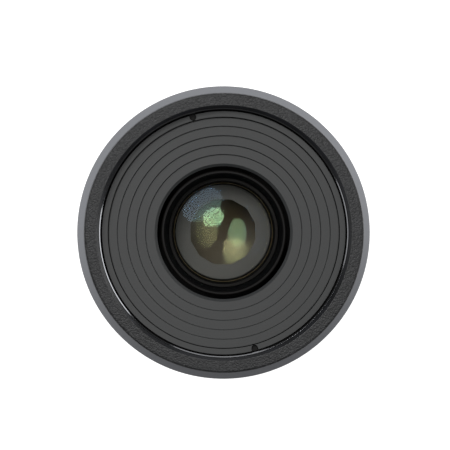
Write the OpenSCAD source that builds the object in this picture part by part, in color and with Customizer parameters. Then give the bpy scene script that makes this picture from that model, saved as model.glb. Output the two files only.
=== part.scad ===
// Cine lens for a 54 mm four-lug mount: a turned housing, a geared focus ring that drives the
// optical cell forward through a helical cam, and a geared iris ring that closes twelve blades
// through a ring of spiral slots. Millimetres, +Z towards the subject, origin at the centre of
// the mount's seat plane.

/* [Mount] */
// Radius of the spigot that enters the camera
spigot_r = 27; // [26.5:0.1:28]
// Length of the spigot behind the seat
spigot_len = 14; // [10:0.5:18]
// Wall of the spigot
spigot_wall = 2.5; // [2:0.1:3]
// How far the four mount lugs reach past the spigot
lug_reach = 9; // [7:0.5:12]
// Thickness of the mount flange
flange_t = 3.5; // [3:0.1:5]
// Angle that each mount lug covers
lug_span = 58; // [40:1:70]
// Width of the locating notch in one lug
notch_w = 3; // [2:0.1:5]
// Thickness of the back-focus shim
shim_t = 0.3; // [0.2:0.05:0.6]

/* [Housing] */
// How far the neck in front of the mount stands past the spigot
neck_step = 4; // [3.5:0.1:6]
// Length of the neck
neck_len = 6.2; // [5:0.1:9]
// Length of the cone between neck and iris ring
cone_len = 8; // [7:0.5:10]
// How far the shoulder stands past the iris ring's seat
shoulder_step = 2; // [1:0.1:3]
// How far the iris ring's seat lies inside the front ring's edge
iris_seat_inset = 7.5; // [7:0.1:8]
// Length of the iris ring's place
iris_len = 14; // [13:0.5:16]
// Length of the fixed index band
index_len = 6; // [5.5:0.1:8]
// How far the index band stands past the iris ring's seat
index_step = 4.5; // [4:0.1:6]
// Wall from the guide barrel's bore to the iris ring's seat
guide_inset = 8; // [7.8:0.05:8.3]
// Wall of the guide barrel
guide_wall = 3; // [2.5:0.1:3.4]

/* [Front] */
// Outer radius of the front ring
front_r = 47.5; // [47:0.1:49]
// Length of the front ring's outer band
front_len = 10; // [9.5:0.1:12]
// Wall of the front ring outside the filter thread
front_wall = 5; // [4.5:0.1:5.5]
// Length of the filter thread
thread_len = 5; // [4:0.1:5.2]
// Bevel between the front face and the filter thread
mouth_bevel = 0.9; // [0.5:0.1:1.2]
// Clearance of the baffle's hole round the nose of the cell
nose_gap = 1.3; // [0.9:0.1:1.9]
// Number of flat lands on the front baffle
baffle_lands = 6; // [4:1:8]
// Radial width of an inner land
baffle_land_w = 3.2; // [2.8:0.1:3.3]
// Drop from one land to the next
baffle_drop = 0.9; // [0.5:0.05:0.95]
// Thickness of the baffle at its hole
baffle_t = 1.4; // [1:0.1:1.6]

/* [Focus] */
// Length of the focus ring's place
focus_len = 35; // [34.5:0.1:38]
// Rise of the focus scale band over the bevel's front end
focus_rise = 2.5; // [1.5:0.1:4]
// Length of the bevel at the front of the focus ring
focus_bevel_len = 5.1; // [3:0.1:6]
// Rise of that bevel's front end over the front ring
focus_nose_step = 0.4; // [0.2:0.1:1.5]
// Turn of the focus ring in degrees
focus_turn = 300; // [200:5:310]
// Forward travel of the optical cell over that turn
focus_travel = 8; // [6:0.5:8.5]
// Rim of the focus gear under its teeth
focus_gear_rim = 0.6; // [0.6:0.4:1.8]
// Face width of the focus gear
focus_gear_w = 12; // [8:0.5:12]

/* [Iris ring] */
// How far the iris scale band stands past the iris ring's seat
iris_step = 3; // [2.5:0.1:4]
// Rim of the iris gear under its teeth
iris_gear_rim = 1; // [0.6:0.4:1.8]
// Face width of the iris gear
iris_gear_w = 7.2; // [5:0.2:7.4]
// Module of both gears
gear_module = 0.8; // [0.8:0.01:0.82]

/* [Iris] */
// Number of iris blades
blades = 12; // [12:1:12]
// Chamber wall to the circle of blade pivots
pivot_inset = 6; // [5.8:0.05:6.2]
// How far the blade edges have closed in, as the iris stands
stop_closed_in = 2.4; // [0.8:0.1:4.8]
// Blade pivots to the blade edges with the iris wide open
stop_open_inset = 8.2; // [8:0.1:8.6]
// Aperture radius with the iris closed down
stop_closed_r = 2; // [1.8:0.1:4]
// Distance from a pivot to the line of its blade's edge
edge_offset = 1.6; // [1.4:0.1:1.8]
// Thickness of a blade
blade_t = 0.12; // [0.08:0.01:0.14]
// Step from one blade's layer to the next
blade_pitch = 0.2; // [0.18:0.01:0.22]
// Distance between a blade's two pins
pin_reach = 6; // [5.8:0.1:6.2]
// Turn of the iris ring for one degree of blade
iris_ratio = 1.75; // [1.6:0.05:1.9]

/* [Optical cell] */
// How far the nose of the cell lies inside the guide barrel's bore
snout_inset = 10.5; // [10.2:0.1:10.7]
// Wall of the nose outside the front element
lens_1_wall = 1.55; // [1.45:0.05:2]
// Step from the front element to the cemented pair behind it
lens_23_step = 2; // [1.8:0.05:2.2]
// Width of the rear cell's lip over the cemented pair behind the iris
lens_45_lip = 0.4; // [0.3:0.05:0.7]
// Step from that pair out to the rear element
lens_6_step = 1; // [0.8:0.05:1.2]
// Width of the shelf under the cemented pair in front of the iris
clear_step = 1.35; // [1.3:0.05:1.9]
// How far the iris chamber lies inside the guide barrel's bore
chamber_inset = 4; // [3.9:0.05:4.2]

/* [Hidden] */
$fn = 96;

// Clearances: cut runs past a face, seat is between fixed pieces, run between turning ones,
// and gap is the axial space between rings that turn against each other
cut = 1;
seat = 0.05;
run = 0.05;
gap = 0.3;
edge = 0.4;

// Heights of the housing, from the mount's seat forwards
dedendum = 1.25 * gear_module;
function teeth_over(r) = round(2 * (r + dedendum) / gear_module);
shim_z = flange_t;
neck_z = shim_z + shim_t;
cone_z = neck_z + neck_len;
iris_z = cone_z + cone_len;
index_z = iris_z + iris_len;
focus_z = index_z + index_len;
front_z = focus_z + focus_len;
face_z = front_z + front_len;
echo(flange_to_front = face_z);

// Radii that follow the front ring's edge and the spigot, from the outside inwards
thread_r = front_r - front_wall;
focus_nose_r = front_r + focus_nose_step;
focus_r = focus_nose_r + focus_rise;
iris_seat_r = front_r - iris_seat_inset;
shoulder_r = iris_seat_r + shoulder_step;
index_r = iris_seat_r + index_step;
iris_r = iris_seat_r + iris_step;
guide_bore_r = iris_seat_r - guide_inset;
chamber_r = guide_bore_r - chamber_inset;
pivot_r = chamber_r - pivot_inset;
stop_open_r = pivot_r - stop_open_inset;
stop_r = stop_open_r - stop_closed_in;
snout_r = guide_bore_r - snout_inset;
baffle_hole_r = snout_r + nose_gap;
lens_1_r = snout_r - lens_1_wall;
lens_23_r = lens_1_r - lens_23_step;
clear_r = lens_23_r - clear_step;
lens_45_r = clear_r + lens_45_lip;
lens_6_r = lens_45_r + lens_6_step;
lug_r = spigot_r + lug_reach;
neck_r = spigot_r + neck_step;

// Mount screws and the rear light baffle
spigot_bore_r = spigot_r - spigot_wall;
ledge = 0.6;
mount_screws_n = 6;
mount_screw_r = 1;
mount_head_r = 1.8;
mount_head_h = 0.9;
mount_screw_len = 6.5;
mount_screw_pcr = (spigot_r + neck_r) / 2;
rear_baffle_t = 2;
rear_baffle_inset = 2;
rear_baffle_w = 8.5;
rear_baffle_hole_r = spigot_bore_r - rear_baffle_w;

// Walls of the rear barrel
neck_wall = 5;
neck_bore_r = neck_r - neck_wall;
barrel_wall = 5.8;
drum_room_r = iris_seat_r - barrel_wall;

// Guide barrel, its front flange and what is screwed to it
guide_r = guide_bore_r + guide_wall;
guide_seat_len = 7;
guide_z = focus_z - guide_seat_len;
guide_flange_t = 3.4;
web_drop = 1;
web_z = front_z - web_drop;
web_t = 2;
guide_flange_z = web_z - guide_flange_t;
guide_flange_inset = 3;
guide_flange_r = front_r - guide_flange_inset;
front_screws_n = 6;
front_screw_r = 1;
front_head_r = 1.9;
front_head_h = 1.2;
front_screw_len = 4.6;
front_screw_inset = 3;
front_screw_pcr = thread_r - front_screw_inset;
barrel_screws_n = 4;
barrel_screw_r = 1;
barrel_screw_z = index_z + index_len / 2;
grub_inset = 0.3;

// Focus ring, its gear and the cam sleeve with three helical slots
gear_seat_inset = 1.9;
gear_seat_r = focus_nose_r - gear_seat_inset;
focus_teeth = teeth_over(gear_seat_r + focus_gear_rim);
ring_wall = 1;
gear_inset = 0.7;
focus_gear_z = focus_z + gap + gear_inset;
band_z = focus_gear_z + focus_gear_w;
band_bevel = 1.5;
lip_clearance = 3.5;
lip_t = 2;
sleeve_wall = 2.95;
sleeve_bore_r = guide_r + run;
sleeve_r = sleeve_bore_r + sleeve_wall;
lip_r = sleeve_r + lip_clearance;
sleeve_z = focus_z + gap;
sleeve_flange_t = 2.5;
stop_lug_t = 2.9;
sleeve_flange_z = sleeve_z + gap + stop_lug_t;
lip_z = sleeve_flange_z + sleeve_flange_t;
focus_nose_wall = 1.4;
focus_shell_r = focus_nose_r - focus_nose_wall;
hub_wall = 2;
focus_hub_r = lip_r + hub_wall;
hub_len = 6;
focus_screws_n = 6;
focus_screw_r = 0.8;
focus_head_r = 1.2;
focus_head_h = 1;
focus_screw_grip = 1.8;
focus_screw_len = sleeve_flange_t + focus_screw_grip;
focus_screw_pcr = (lip_r + gear_seat_r - ring_wall) / 2;
stop_pin_r = 1.4;
stop_pin_depth = 4;
stop_pin_angle = 200;
stop_r_mid = (iris_seat_r + index_r) / 2;
stop_lug_w = 3.4;
stop_slack = 0.5;
stop_pin_half_angle = asin(stop_pin_r / stop_r_mid);
stop_lug_span = 360 - focus_turn - 2 * stop_pin_half_angle - 2 * stop_slack;

// Three followers carry the cell along straight slots in the guide barrel
followers = 3;
follower_drop = 8.6;
follower_z = guide_flange_z - focus_travel - follower_drop;
follower_angle = 40;
follower_bush_r = 1.4;
follower_tip_r = 0.8;
follower_shank_r = 0.9;
bush_play = 0.1;
cam_play = 0.2;
slot_overrun_angle = 4;
slot_steps = 24;

// Optical cell, from the front of the nose backwards
snout_drop = 2;
snout_z = web_z - snout_drop;
snout_len = 10;
drum_r = guide_bore_r - run;
drum_z = snout_z - snout_len;
drum_wall = 2.45;
hub_r = snout_r;
pocket_drop = 3;
pocket_z = follower_z - pocket_drop;
shelf_drop = 14;
shelf_z = drum_z - shelf_drop;
chamber_len = 6.2;
chamber_z = shelf_z - chamber_len;
recess_wall = 1.45;
recess_r = drum_r - recess_wall;
recess_len = 3.8;
cell_z = chamber_z - recess_len;
shelf_t = 2.5;
lens_3_z = shelf_z + shelf_t;
ring_thread_step = 0.65;
ring_thread_r = lens_1_r + ring_thread_step;
lens_1_rise = 1;
lens_1_z = drum_z + lens_1_rise;
lens_1_rim = 2.5;
lens_1_front_R = 45;
lens_1_back_R = 90;
lens_1_flat = 1.05;
lens_1_back_r = lens_1_r - lens_1_flat;
retainer_lip = 0.85;
retainer_nose_r = lens_1_r - retainer_lip;
retainer_mouth_wall = 0.4;
retainer_mouth_r = ring_thread_r - retainer_mouth_wall;
front_inset = 0.4;
lens_3_t = 4.5;
lens_3_back_R = 45;
lens_3_flat = 2.95;
lens_3_back_r = lens_23_r - lens_3_flat;
lens_2_rim = 2;
lens_2_front_R = 34;
inner_nose_wall = 0.95;
inner_nose_r = lens_23_r - inner_nose_wall;
inner_mouth_wall = 0.35;
inner_mouth_r = lens_23_r - inner_mouth_wall;

// Rear cell, from its front face backwards
rear_cell_wall = 3;
barrel_r = lens_6_r + rear_cell_wall;
lip_45_t = 1.5;
lens_4_z = chamber_z - lip_45_t;
lens_4_t = 3.3;
lens_4_front_R = 50;
lens_4_flat = 2.5;
lens_4_front_r = lens_45_r - lens_4_flat;
lens_5_rim = 2;
lens_5_back_R = 40;
spacer_wall = 0.8;
spacer_r = lens_45_r - spacer_wall;
lens_6_drop = 15.8;
lens_6_z = chamber_z - lens_6_drop;
lens_6_rim = 4;
lens_6_front_R = 90;
lens_6_back_R = 55;
rear_nose_wall = 1.1;
rear_nose_r = lens_6_r - rear_nose_wall;
rear_cell_end = 5.5;
rear_cell_z = lens_6_z - lens_6_rim - rear_cell_end;
touch = 0.05;

// Screws that join the two cells
cell_screws_n = 6;
cell_screw_step = 45;
cell_screw_start = 150;
cell_screw_r = 0.6;
cell_head_r = 1.1;
cell_head_h = 1;
cell_screw_len = 6.5;
cell_screw_pcr = (chamber_r + recess_r) / 2;

// Iris: cam ring behind, blades in layers, pivot plate in front
cam_ring_t = 1.5;
cam_ring_z = chamber_z + gap;
cam_ring_r = chamber_r - run;
cam_ring_w = 7.55;
cam_ring_bore_r = cam_ring_r - cam_ring_w;
blade_z = cam_ring_z + cam_ring_t + gap;
pivot_plate_t = 1.6;
pivot_plate_z = shelf_z - pivot_plate_t;
pivot_pin_r = 0.6;
pivot_hole_r = 0.65;
pivot_pin_end = shelf_z - edge;
drive_pin_r = 0.4;
cam_slot_w = 1;
cam_slot_steps = 14;
cam_slot_overrun = 1.2;
blade_back_inset = 1;
blade_out_r = pivot_r - blade_back_inset;
blade_back_angle = 16;
blade_tip_cut = 0.9;
ear_r = 1.5;
tail_w = 2;
tail_lead_angle = 100;

// Angle between a blade's pivot and the normal of its edge at an aperture of radius r
function pivot_angle(r) = acos((r + edge_offset) / pivot_r);
angle_open = pivot_angle(stop_open_r);
angle_rest = pivot_angle(stop_r);
angle_closed = pivot_angle(stop_closed_r);
blade_opens = angle_open - angle_rest;
blade_closes = angle_closed - angle_rest;
ring_opens = iris_ratio * blade_opens;
ring_closes = iris_ratio * blade_closes;
echo(blade_range = [blade_opens, blade_closes], ring_range = [ring_opens, ring_closes]);

// Radial drive pin between the iris ring and the cam ring's tongue
iris_ring_wall = 1.15;
iris_gear_seat_r = iris_seat_r + run + iris_ring_wall;
iris_teeth = teeth_over(iris_gear_seat_r + iris_gear_rim);
iris_band_len = 5.7;
iris_band_z = index_z - gap - iris_band_len;
drive_z = iris_band_z + iris_band_len / 2;
drive_r = 1.2;
drive_head_r = 1.9;
drive_head_h = 1.3;
drive_play = 0.1;
tongue_wall = 1.9;
tongue_r = cam_ring_r - tongue_wall;
tongue_half_angle = 7;
tongue_angle = 75;
tongue_foot = 3.4;
tongue_end_z = drive_z - focus_travel - tongue_foot;
window_play = 0.35;
window_slack_angle = 1.5;

// Colours
black = "#26282b";
satin = "#3a3c3f";
grey = "#85878c";
steel = "#b9babd";
brass = "#b8985a";
blade_grey = "#6b6c6e";
glass = [0.35, 0.45, 0.5, 0.45];

// A turned piece from its half section of [radius, height] points
module turned(section) {
    rotate_extrude() polygon(section);
}

// A plain ring between two heights
module plain_ring(r_in, r_out, z_lo, z_hi) {
    turned([[r_in, z_lo], [r_out, z_lo], [r_out, z_hi], [r_in, z_hi]]);
}

// A ring segment that starts at angle a and covers span degrees
module ring_arc(r_in, r_out, z_lo, z_hi, a, span) {
    section = [[r_in, z_lo], [r_out, z_lo], [r_out, z_hi], [r_in, z_hi]];
    rotate([0, 0, a]) rotate_extrude(angle = span) polygon(section);
}

// Copies of a child on a circle about the axis
module around(n, r, start = 0, step = 0) {
    for (i = [0 : n - 1]) rotate([0, 0, start + i * (step == 0 ? 360 / n : step)]) translate([r, 0, 0]) children();
}

// A straight hole or shaft along Z
module bar(r, z_lo, z_hi) {
    translate([0, 0, z_lo]) cylinder(r = r, h = z_hi - z_lo);
}

// A straight hole or shaft that runs outwards along X
module spoke(r, x_lo, x_hi) {
    translate([x_lo, 0, 0]) rotate([0, 90, 0]) cylinder(r = r, h = x_hi - x_lo);
}

// Screw with a cylindrical head whose top lies at z = 0 and whose shaft points to -Z
module cap_screw(r, head_r, head_h, len) {
    socket_r = 0.55 * head_r;
    difference() {
        union() {
            bar(head_r, -head_h, 0);
            bar(r, -len, -head_h / 2);
        }
        translate([0, 0, -head_h / 2]) cylinder(r = socket_r, h = head_h, $fn = 6);
    }
}

// Room for that screw
module cap_screw_room(r, head_r, head_h, len) {
    bar(head_r + seat, -head_h, cut);
    bar(r + seat, -len - cut, 0);
}

// Involute gear ring: half the angle of a tooth at radius r, then the outline of all teeth
function involute(a) = tan(a) * 180 / PI - a;
function tooth_half_angle(n, r, press = 20) =
    90 / n + involute(press) - involute(acos(min(1, n * gear_module / 2 * cos(press) / r)));
function on_circle(r, a) = [r * cos(a), r * sin(a)];
addendum = gear_module;
flank_shares = [0, 0.55, 1];
module gear_ring(n, bore_r, z_lo, width) {
    root_r = n * gear_module / 2 - dedendum;
    depth = addendum + dedendum;
    outline = [for (i = [0 : n - 1]) for (side = [-1, 1]) for (k = [0 : 2])
        let (r = root_r + depth * flank_shares[side < 0 ? k : 2 - k])
        on_circle(r, i * 360 / n + side * tooth_half_angle(n, r))];
    translate([0, 0, z_lo]) difference() {
        linear_extrude(width) polygon(outline);
        bar(bore_r, -cut, width + cut, $fn = 4 * n);
    }
}

// Height of a sphere of radius R above its rim of radius r
function sag(R, r) = R - sqrt(R * R - r * r);

// Mount flange with its spigot, four lugs, locating notch and countersunk screw holes
module mount_flange() color(steel) difference() {
    union() {
        turned([
            [spigot_bore_r, -spigot_len],
            [spigot_r - edge, -spigot_len],
            [spigot_r, -spigot_len + edge],
            [spigot_r, 0],
            [neck_r, 0],
            [neck_r, flange_t],
            [spigot_bore_r - ledge, flange_t],
            [spigot_bore_r - ledge, -spigot_len + rear_baffle_inset + rear_baffle_t],
            [spigot_bore_r, -spigot_len + rear_baffle_inset + rear_baffle_t]
        ]);
        for (i = [0 : 3])
            ring_arc(neck_r - cut, lug_r, 0, flange_t, i * 90 + 45 - lug_span / 2, lug_span);
    }
    rotate([0, 0, 45]) translate([lug_r - 1.2 * notch_w, -notch_w / 2, -cut])
        cube([lug_r, notch_w, flange_t + 2 * cut]);
    around(mount_screws_n, mount_screw_pcr) {
        bar(mount_screw_r + seat, -cut, flange_t + cut);
        mount_screw_head(seat);
    }
}

// Countersunk head of a mount screw, grown by play for its seat in the flange
module mount_screw_head(play = 0) {
    cylinder(r1 = mount_head_r + play, r2 = mount_screw_r + play, h = mount_head_h);
}

module mount_screws() color(steel) around(mount_screws_n, mount_screw_pcr) difference() {
    union() {
        mount_screw_head();
        bar(mount_screw_r, mount_head_h, mount_screw_len);
    }
    translate([0, 0, -cut]) cylinder(r = mount_screw_r * 0.6, h = cut + mount_head_h * 0.8, $fn = 6);
}

module mount_shim() color(brass) difference() {
    plain_ring(spigot_bore_r + ledge, neck_r - edge, shim_z, shim_z + shim_t);
    around(mount_screws_n, mount_screw_pcr) bar(mount_screw_r + seat, shim_z - cut, shim_z + cut);
}

// Ring at the back of the spigot that stops stray light
module rear_baffle() color(black) turned([
    [rear_baffle_hole_r, -spigot_len + rear_baffle_inset],
    [spigot_bore_r - seat, -spigot_len + rear_baffle_inset],
    [spigot_bore_r - seat, -spigot_len + rear_baffle_inset + rear_baffle_t],
    [rear_baffle_hole_r + rear_baffle_t, -spigot_len + rear_baffle_inset + rear_baffle_t]
]);

// Neck, cone and the seats of the iris ring and guide barrel, with the drive pin's arc window
module rear_barrel() color(black) difference() {
    turned([
        [neck_bore_r, neck_z],
        [neck_r, neck_z],
        [neck_r, cone_z],
        [shoulder_r - edge, iris_z - edge],
        [shoulder_r, iris_z],
        [iris_seat_r, iris_z],
        [iris_seat_r, focus_z],
        [guide_r + seat, focus_z],
        [guide_r + seat, guide_z],
        [drum_room_r, guide_z],
        [drum_room_r, iris_z - cone_len / 4],
        [neck_bore_r, cone_z - cone_len / 4]
    ]);
    around(mount_screws_n, mount_screw_pcr)
        bar(mount_screw_r + seat, neck_z - cut, mount_screw_len + cut / 2);
    drive_pin_window(drum_room_r - cut, iris_seat_r + cut);
    translate([0, 0, barrel_screw_z]) around(barrel_screws_n, 0, 45)
        spoke(barrel_screw_r + seat, guide_r - cut, iris_seat_r + cut);
}

// Arc that the drive pin sweeps through a wall
module drive_pin_window(r_in, r_out) {
    half = drive_r + drive_play;
    pin_angle = asin(half / drum_room_r);
    ring_arc(
        r_in, r_out, drive_z - half, drive_z + half,
        tongue_angle + ring_opens - pin_angle, ring_closes - ring_opens + 2 * pin_angle);
}

// Fixed tube with three straight slots that keep the cell from turning
module guide_barrel() color(satin) difference() {
    turned([
        [guide_bore_r, guide_z],
        [guide_r, guide_z],
        [guide_r, guide_flange_z],
        [guide_flange_r, guide_flange_z],
        [guide_flange_r, web_z],
        [guide_bore_r, web_z]
    ]);
    around(followers, 0, follower_angle) guide_slot();
    translate([0, 0, barrel_screw_z]) around(barrel_screws_n, 0, 45)
        spoke(barrel_screw_r + seat, guide_bore_r - cut, guide_r + cut);
    around(front_screws_n, front_screw_pcr)
        bar(front_screw_r + seat, guide_flange_z - cut, web_z + cut);
}

// One straight slot along the axis, as long as the cell's travel
module guide_slot() {
    half = follower_bush_r + bush_play;
    x_lo = guide_bore_r - cut;
    x_hi = guide_r + cut;
    for (z = [follower_z - bush_play, follower_z + focus_travel + bush_play])
        translate([0, 0, z]) spoke(half, x_lo, x_hi);
    translate([x_lo, -half, follower_z - bush_play])
        cube([x_hi - x_lo, 2 * half, focus_travel + 2 * bush_play]);
}

// Fixed band that carries the index marks and holds the iris ring in
module index_band() color(black) difference() {
    turned([
        [iris_seat_r + seat, index_z],
        [index_r - edge, index_z],
        [index_r, index_z + edge],
        [index_r, focus_z - edge],
        [index_r - edge, focus_z],
        [iris_seat_r + seat, focus_z]
    ]);
    translate([0, 0, barrel_screw_z]) around(barrel_screws_n, 0, 45)
        spoke(barrel_screw_r + seat, iris_seat_r - cut, index_r + cut);
    rotate([0, 0, stop_pin_angle]) translate([stop_r_mid, 0, 0])
        bar(stop_pin_r + seat, focus_z - stop_pin_depth, focus_z + cut);
}

// Grub screws through the index band and rear barrel into the guide barrel
module barrel_screws() color(steel) translate([0, 0, barrel_screw_z])
    around(barrel_screws_n, 0, 45) difference() {
        spoke(barrel_screw_r, guide_bore_r + grub_inset, index_r - grub_inset);
        translate([index_r - 1.5 * barrel_screw_r, 0, 0]) rotate([0, 90, 0])
            cylinder(r = 0.6 * barrel_screw_r, h = 2 * barrel_screw_r, $fn = 6);
    }

module focus_stop_pin() color(steel) rotate([0, 0, stop_pin_angle]) translate([stop_r_mid, 0, 0])
    bar(stop_pin_r, focus_z - stop_pin_depth, sleeve_flange_z - gap);

// Front ring: textured face, filter thread wall, relief and the web that is screwed down
front_ring_relief = 0.4;
shell_gap = 0.7;
thread_top_z = face_z - mouth_bevel;
thread_end_z = thread_top_z - thread_len;
relief_z = thread_end_z - front_ring_relief;
baffle_ledge = 0.75;
ledge_bevel = 0.6;
baffle_seat_r = thread_r - baffle_ledge;
baffle_seat_z = web_z + web_t;
web_lip = 1.5;
web_in_r = guide_r + web_lip;
module front_ring() color(black) difference() {
    turned([
        [web_in_r, web_z],
        [focus_shell_r - shell_gap, web_z],
        [focus_shell_r - shell_gap, front_z],
        [front_r, front_z],
        [front_r, face_z - edge],
        [front_r - edge, face_z],
        [thread_r + mouth_bevel, face_z],
        [thread_r, thread_top_z],
        [thread_r, thread_end_z],
        [thread_r + front_ring_relief, (thread_end_z + relief_z) / 2],
        [baffle_seat_r + ledge_bevel, relief_z],
        [baffle_seat_r, relief_z - ledge_bevel],
        [baffle_seat_r, baffle_seat_z],
        [web_in_r, baffle_seat_z]
    ]);
    translate([0, 0, baffle_seat_z]) around(front_screws_n, front_screw_pcr)
        cap_screw_room(front_screw_r, front_head_r, front_head_h, front_screw_len);
}

module front_ring_screws() color(steel) translate([0, 0, baffle_seat_z])
    around(front_screws_n, front_screw_pcr)
        cap_screw(front_screw_r, front_head_r, front_head_h, front_screw_len);

// Stepped baffle: each land is a flat ring one drop below the land outside it
baffle_r = baffle_seat_r - seat;
baffle_top_z = relief_z;
baffle_bevel = 0.2;
riser_w = 0.4;
hole_bevel = 0.9;
first_step_r = baffle_hole_r + hole_bevel + baffle_land_w * (baffle_lands - 1) - 0.3 * riser_w;
baffle_low_z = baffle_top_z - baffle_drop * (baffle_lands - 1);
spanner_r = 1.1;
spanner_inset = 0.9;
spanner_pcr = baffle_r - spanner_inset;
spanner_depth = 1.5;
spanner_angle = 105;
baffle_steps = [for (i = [0 : baffle_lands - 2]) each [
    [first_step_r - i * baffle_land_w + riser_w / 2, baffle_top_z - i * baffle_drop],
    [first_step_r - i * baffle_land_w - riser_w / 2, baffle_top_z - (i + 1) * baffle_drop]
]];
module front_baffle() color(satin) difference() {
    turned(concat([
        [web_in_r - seat, baffle_seat_z],
        [baffle_r, baffle_seat_z],
        [baffle_r, baffle_top_z - baffle_bevel],
        [baffle_r - baffle_bevel, baffle_top_z]
    ], baffle_steps, [
        [baffle_hole_r + hole_bevel, baffle_low_z],
        [baffle_hole_r, baffle_low_z - hole_bevel],
        [baffle_hole_r, baffle_low_z - baffle_t],
        [web_in_r - seat, baffle_seat_z - edge]
    ]));
    for (a = [0, 180]) rotate([0, 0, spanner_angle + a]) {
        translate([spanner_pcr, 0, 0]) bar(spanner_r, baffle_top_z - spanner_depth, baffle_top_z + cut);
        translate([spanner_pcr, -spanner_r, baffle_top_z - spanner_depth])
            cube([baffle_r, 2 * spanner_r, spanner_depth + cut]);
    }
}

// Focus ring shell: gear seat, scale band, front bevel and the inner lip for the cam sleeve
module focus_ring() color(grey) difference() {
    turned([
        [gear_seat_r - ring_wall, focus_z + gap],
        [gear_seat_r, focus_z + gap],
        [gear_seat_r, band_z],
        [focus_r - band_bevel, band_z],
        [focus_r, band_z + band_bevel],
        [focus_r, front_z - edge - focus_bevel_len],
        [focus_nose_r, front_z - edge],
        [focus_shell_r, front_z - edge],
        [focus_shell_r, lip_z + lip_t + hub_len + band_bevel],
        [focus_hub_r, lip_z + lip_t + hub_len],
        [focus_hub_r, lip_z + lip_t],
        [lip_r, lip_z + lip_t],
        [lip_r, lip_z],
        [gear_seat_r - ring_wall, lip_z]
    ]);
    around(focus_screws_n, focus_screw_pcr)
        bar(focus_screw_r + seat, lip_z - cut, sleeve_flange_z + focus_screw_len + cut / 4);
}

module focus_gear() color(black) gear_ring(focus_teeth, gear_seat_r + seat, focus_gear_z, focus_gear_w);

// Cam sleeve: turns with the focus ring, and its helical slots push the followers forward
module cam_sleeve() color(brass) difference() {
    turned([
        [sleeve_bore_r, sleeve_z],
        [sleeve_r, sleeve_z],
        [sleeve_r, sleeve_flange_z],
        [gear_seat_r - ring_wall - seat, sleeve_flange_z],
        [gear_seat_r - ring_wall - seat, lip_z],
        [sleeve_r, lip_z],
        [sleeve_r, guide_flange_z - gap],
        [sleeve_bore_r, guide_flange_z - gap]
    ]);
    for (i = [0 : followers - 1]) rotate([0, 0, follower_angle + i * 360 / followers]) helical_slot();
    translate([0, 0, sleeve_flange_z]) around(focus_screws_n, focus_screw_pcr) mirror([0, 0, 1])
        cap_screw_room(focus_screw_r, focus_head_r, focus_head_h, focus_screw_len);
}

// Helix in the sleeve: height rises by the travel while the angle falls by the turn
slot_half = follower_tip_r + cam_play;
function slot_ring(t) =
    let (a = -focus_turn * t, z = follower_z + focus_travel * t)
    let (r_in = sleeve_bore_r - cut, r_out = sleeve_r + cut)
    [for (p = [[r_in, -slot_half], [r_out, -slot_half], [r_out, slot_half], [r_in, slot_half]])
        [p[0] * cos(a), p[0] * sin(a), z + p[1]]];
module helical_slot() {
    over = slot_overrun_angle / focus_turn;
    points = [for (i = [0 : slot_steps]) each slot_ring(-over + (1 + 2 * over) * i / slot_steps)];
    last = 4 * slot_steps;
    faces = concat(
        [[0, 1, 2], [0, 2, 3], [last + 2, last + 1, last], [last + 3, last + 2, last]],
        [for (i = [0 : slot_steps - 1]) for (k = [0 : 3])
            let (a = 4 * i + k, b = 4 * i + (k + 1) % 4) each [[a, a + 4, b], [b, a + 4, b + 4]]]
    );
    polyhedron(points, faces);
}

module focus_ring_screws() color(steel) translate([0, 0, sleeve_flange_z])
    around(focus_screws_n, focus_screw_pcr) mirror([0, 0, 1])
        cap_screw(focus_screw_r, focus_head_r, focus_head_h, focus_screw_len);

// Arc block on the sleeve's flange that meets the stop pin at both ends of the turn
module focus_stop_lug() color(steel) ring_arc(
    stop_r_mid - stop_lug_w / 2, stop_r_mid + stop_lug_w / 2, sleeve_z + gap, sleeve_flange_z,
    stop_pin_angle + stop_pin_half_angle + stop_slack, stop_lug_span);

// Front cell: drum that slides in the guide barrel, hub and nose for the front elements
module front_cell() color(black) difference() {
    turned([
        [recess_r, cell_z],
        [drum_r, cell_z],
        [drum_r, drum_z - edge],
        [drum_r - edge, drum_z],
        [drum_r - drum_wall, drum_z],
        [drum_r - drum_wall, pocket_z],
        [hub_r, pocket_z],
        [hub_r, snout_z - edge],
        [hub_r - edge, snout_z],
        [ring_thread_r, snout_z],
        [ring_thread_r, lens_1_z + lens_1_rim],
        [lens_1_r + seat, lens_1_z + lens_1_rim],
        [lens_1_r + seat, lens_1_z],
        [lens_23_r + seat, lens_1_z],
        [lens_23_r + seat, lens_3_z],
        [clear_r, lens_3_z],
        [clear_r, shelf_z],
        [chamber_r, shelf_z],
        [chamber_r, chamber_z],
        [recess_r, chamber_z]
    ]);
    around(cell_screws_n, cell_screw_pcr, cell_screw_start, cell_screw_step)
        bar(cell_screw_r + seat, chamber_z - cut, cell_z + cell_screw_len + cut / 4);
    translate([0, 0, follower_z]) around(followers, 0, follower_angle)
        spoke(follower_shank_r + seat, drum_r - drum_wall - cut, drum_r + cut);
}

// Ring that holds the front element, with a bevelled mouth
retainer_z = lens_1_z + lens_1_rim + sag(lens_1_front_R, lens_1_r) - sag(lens_1_front_R, retainer_nose_r) + touch;
module front_retainer() color(black) turned([
    [retainer_nose_r, retainer_z],
    [ring_thread_r - seat, retainer_z],
    [ring_thread_r - seat, snout_z - front_inset],
    [retainer_mouth_r, snout_z - front_inset],
    [retainer_nose_r, retainer_z + edge]
]);

// Ring that holds the cemented pair behind the front element
lens_2_z = lens_3_z + lens_3_t;
inner_z = lens_2_z + lens_2_rim + sag(lens_2_front_R, lens_23_r) - sag(lens_2_front_R, inner_nose_r) + touch;
module inner_retainer() color(black) turned([
    [inner_nose_r, inner_z],
    [lens_23_r, inner_z],
    [lens_23_r, lens_1_z - 2 * touch],
    [inner_mouth_r, lens_1_z - 2 * touch]
]);

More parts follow.
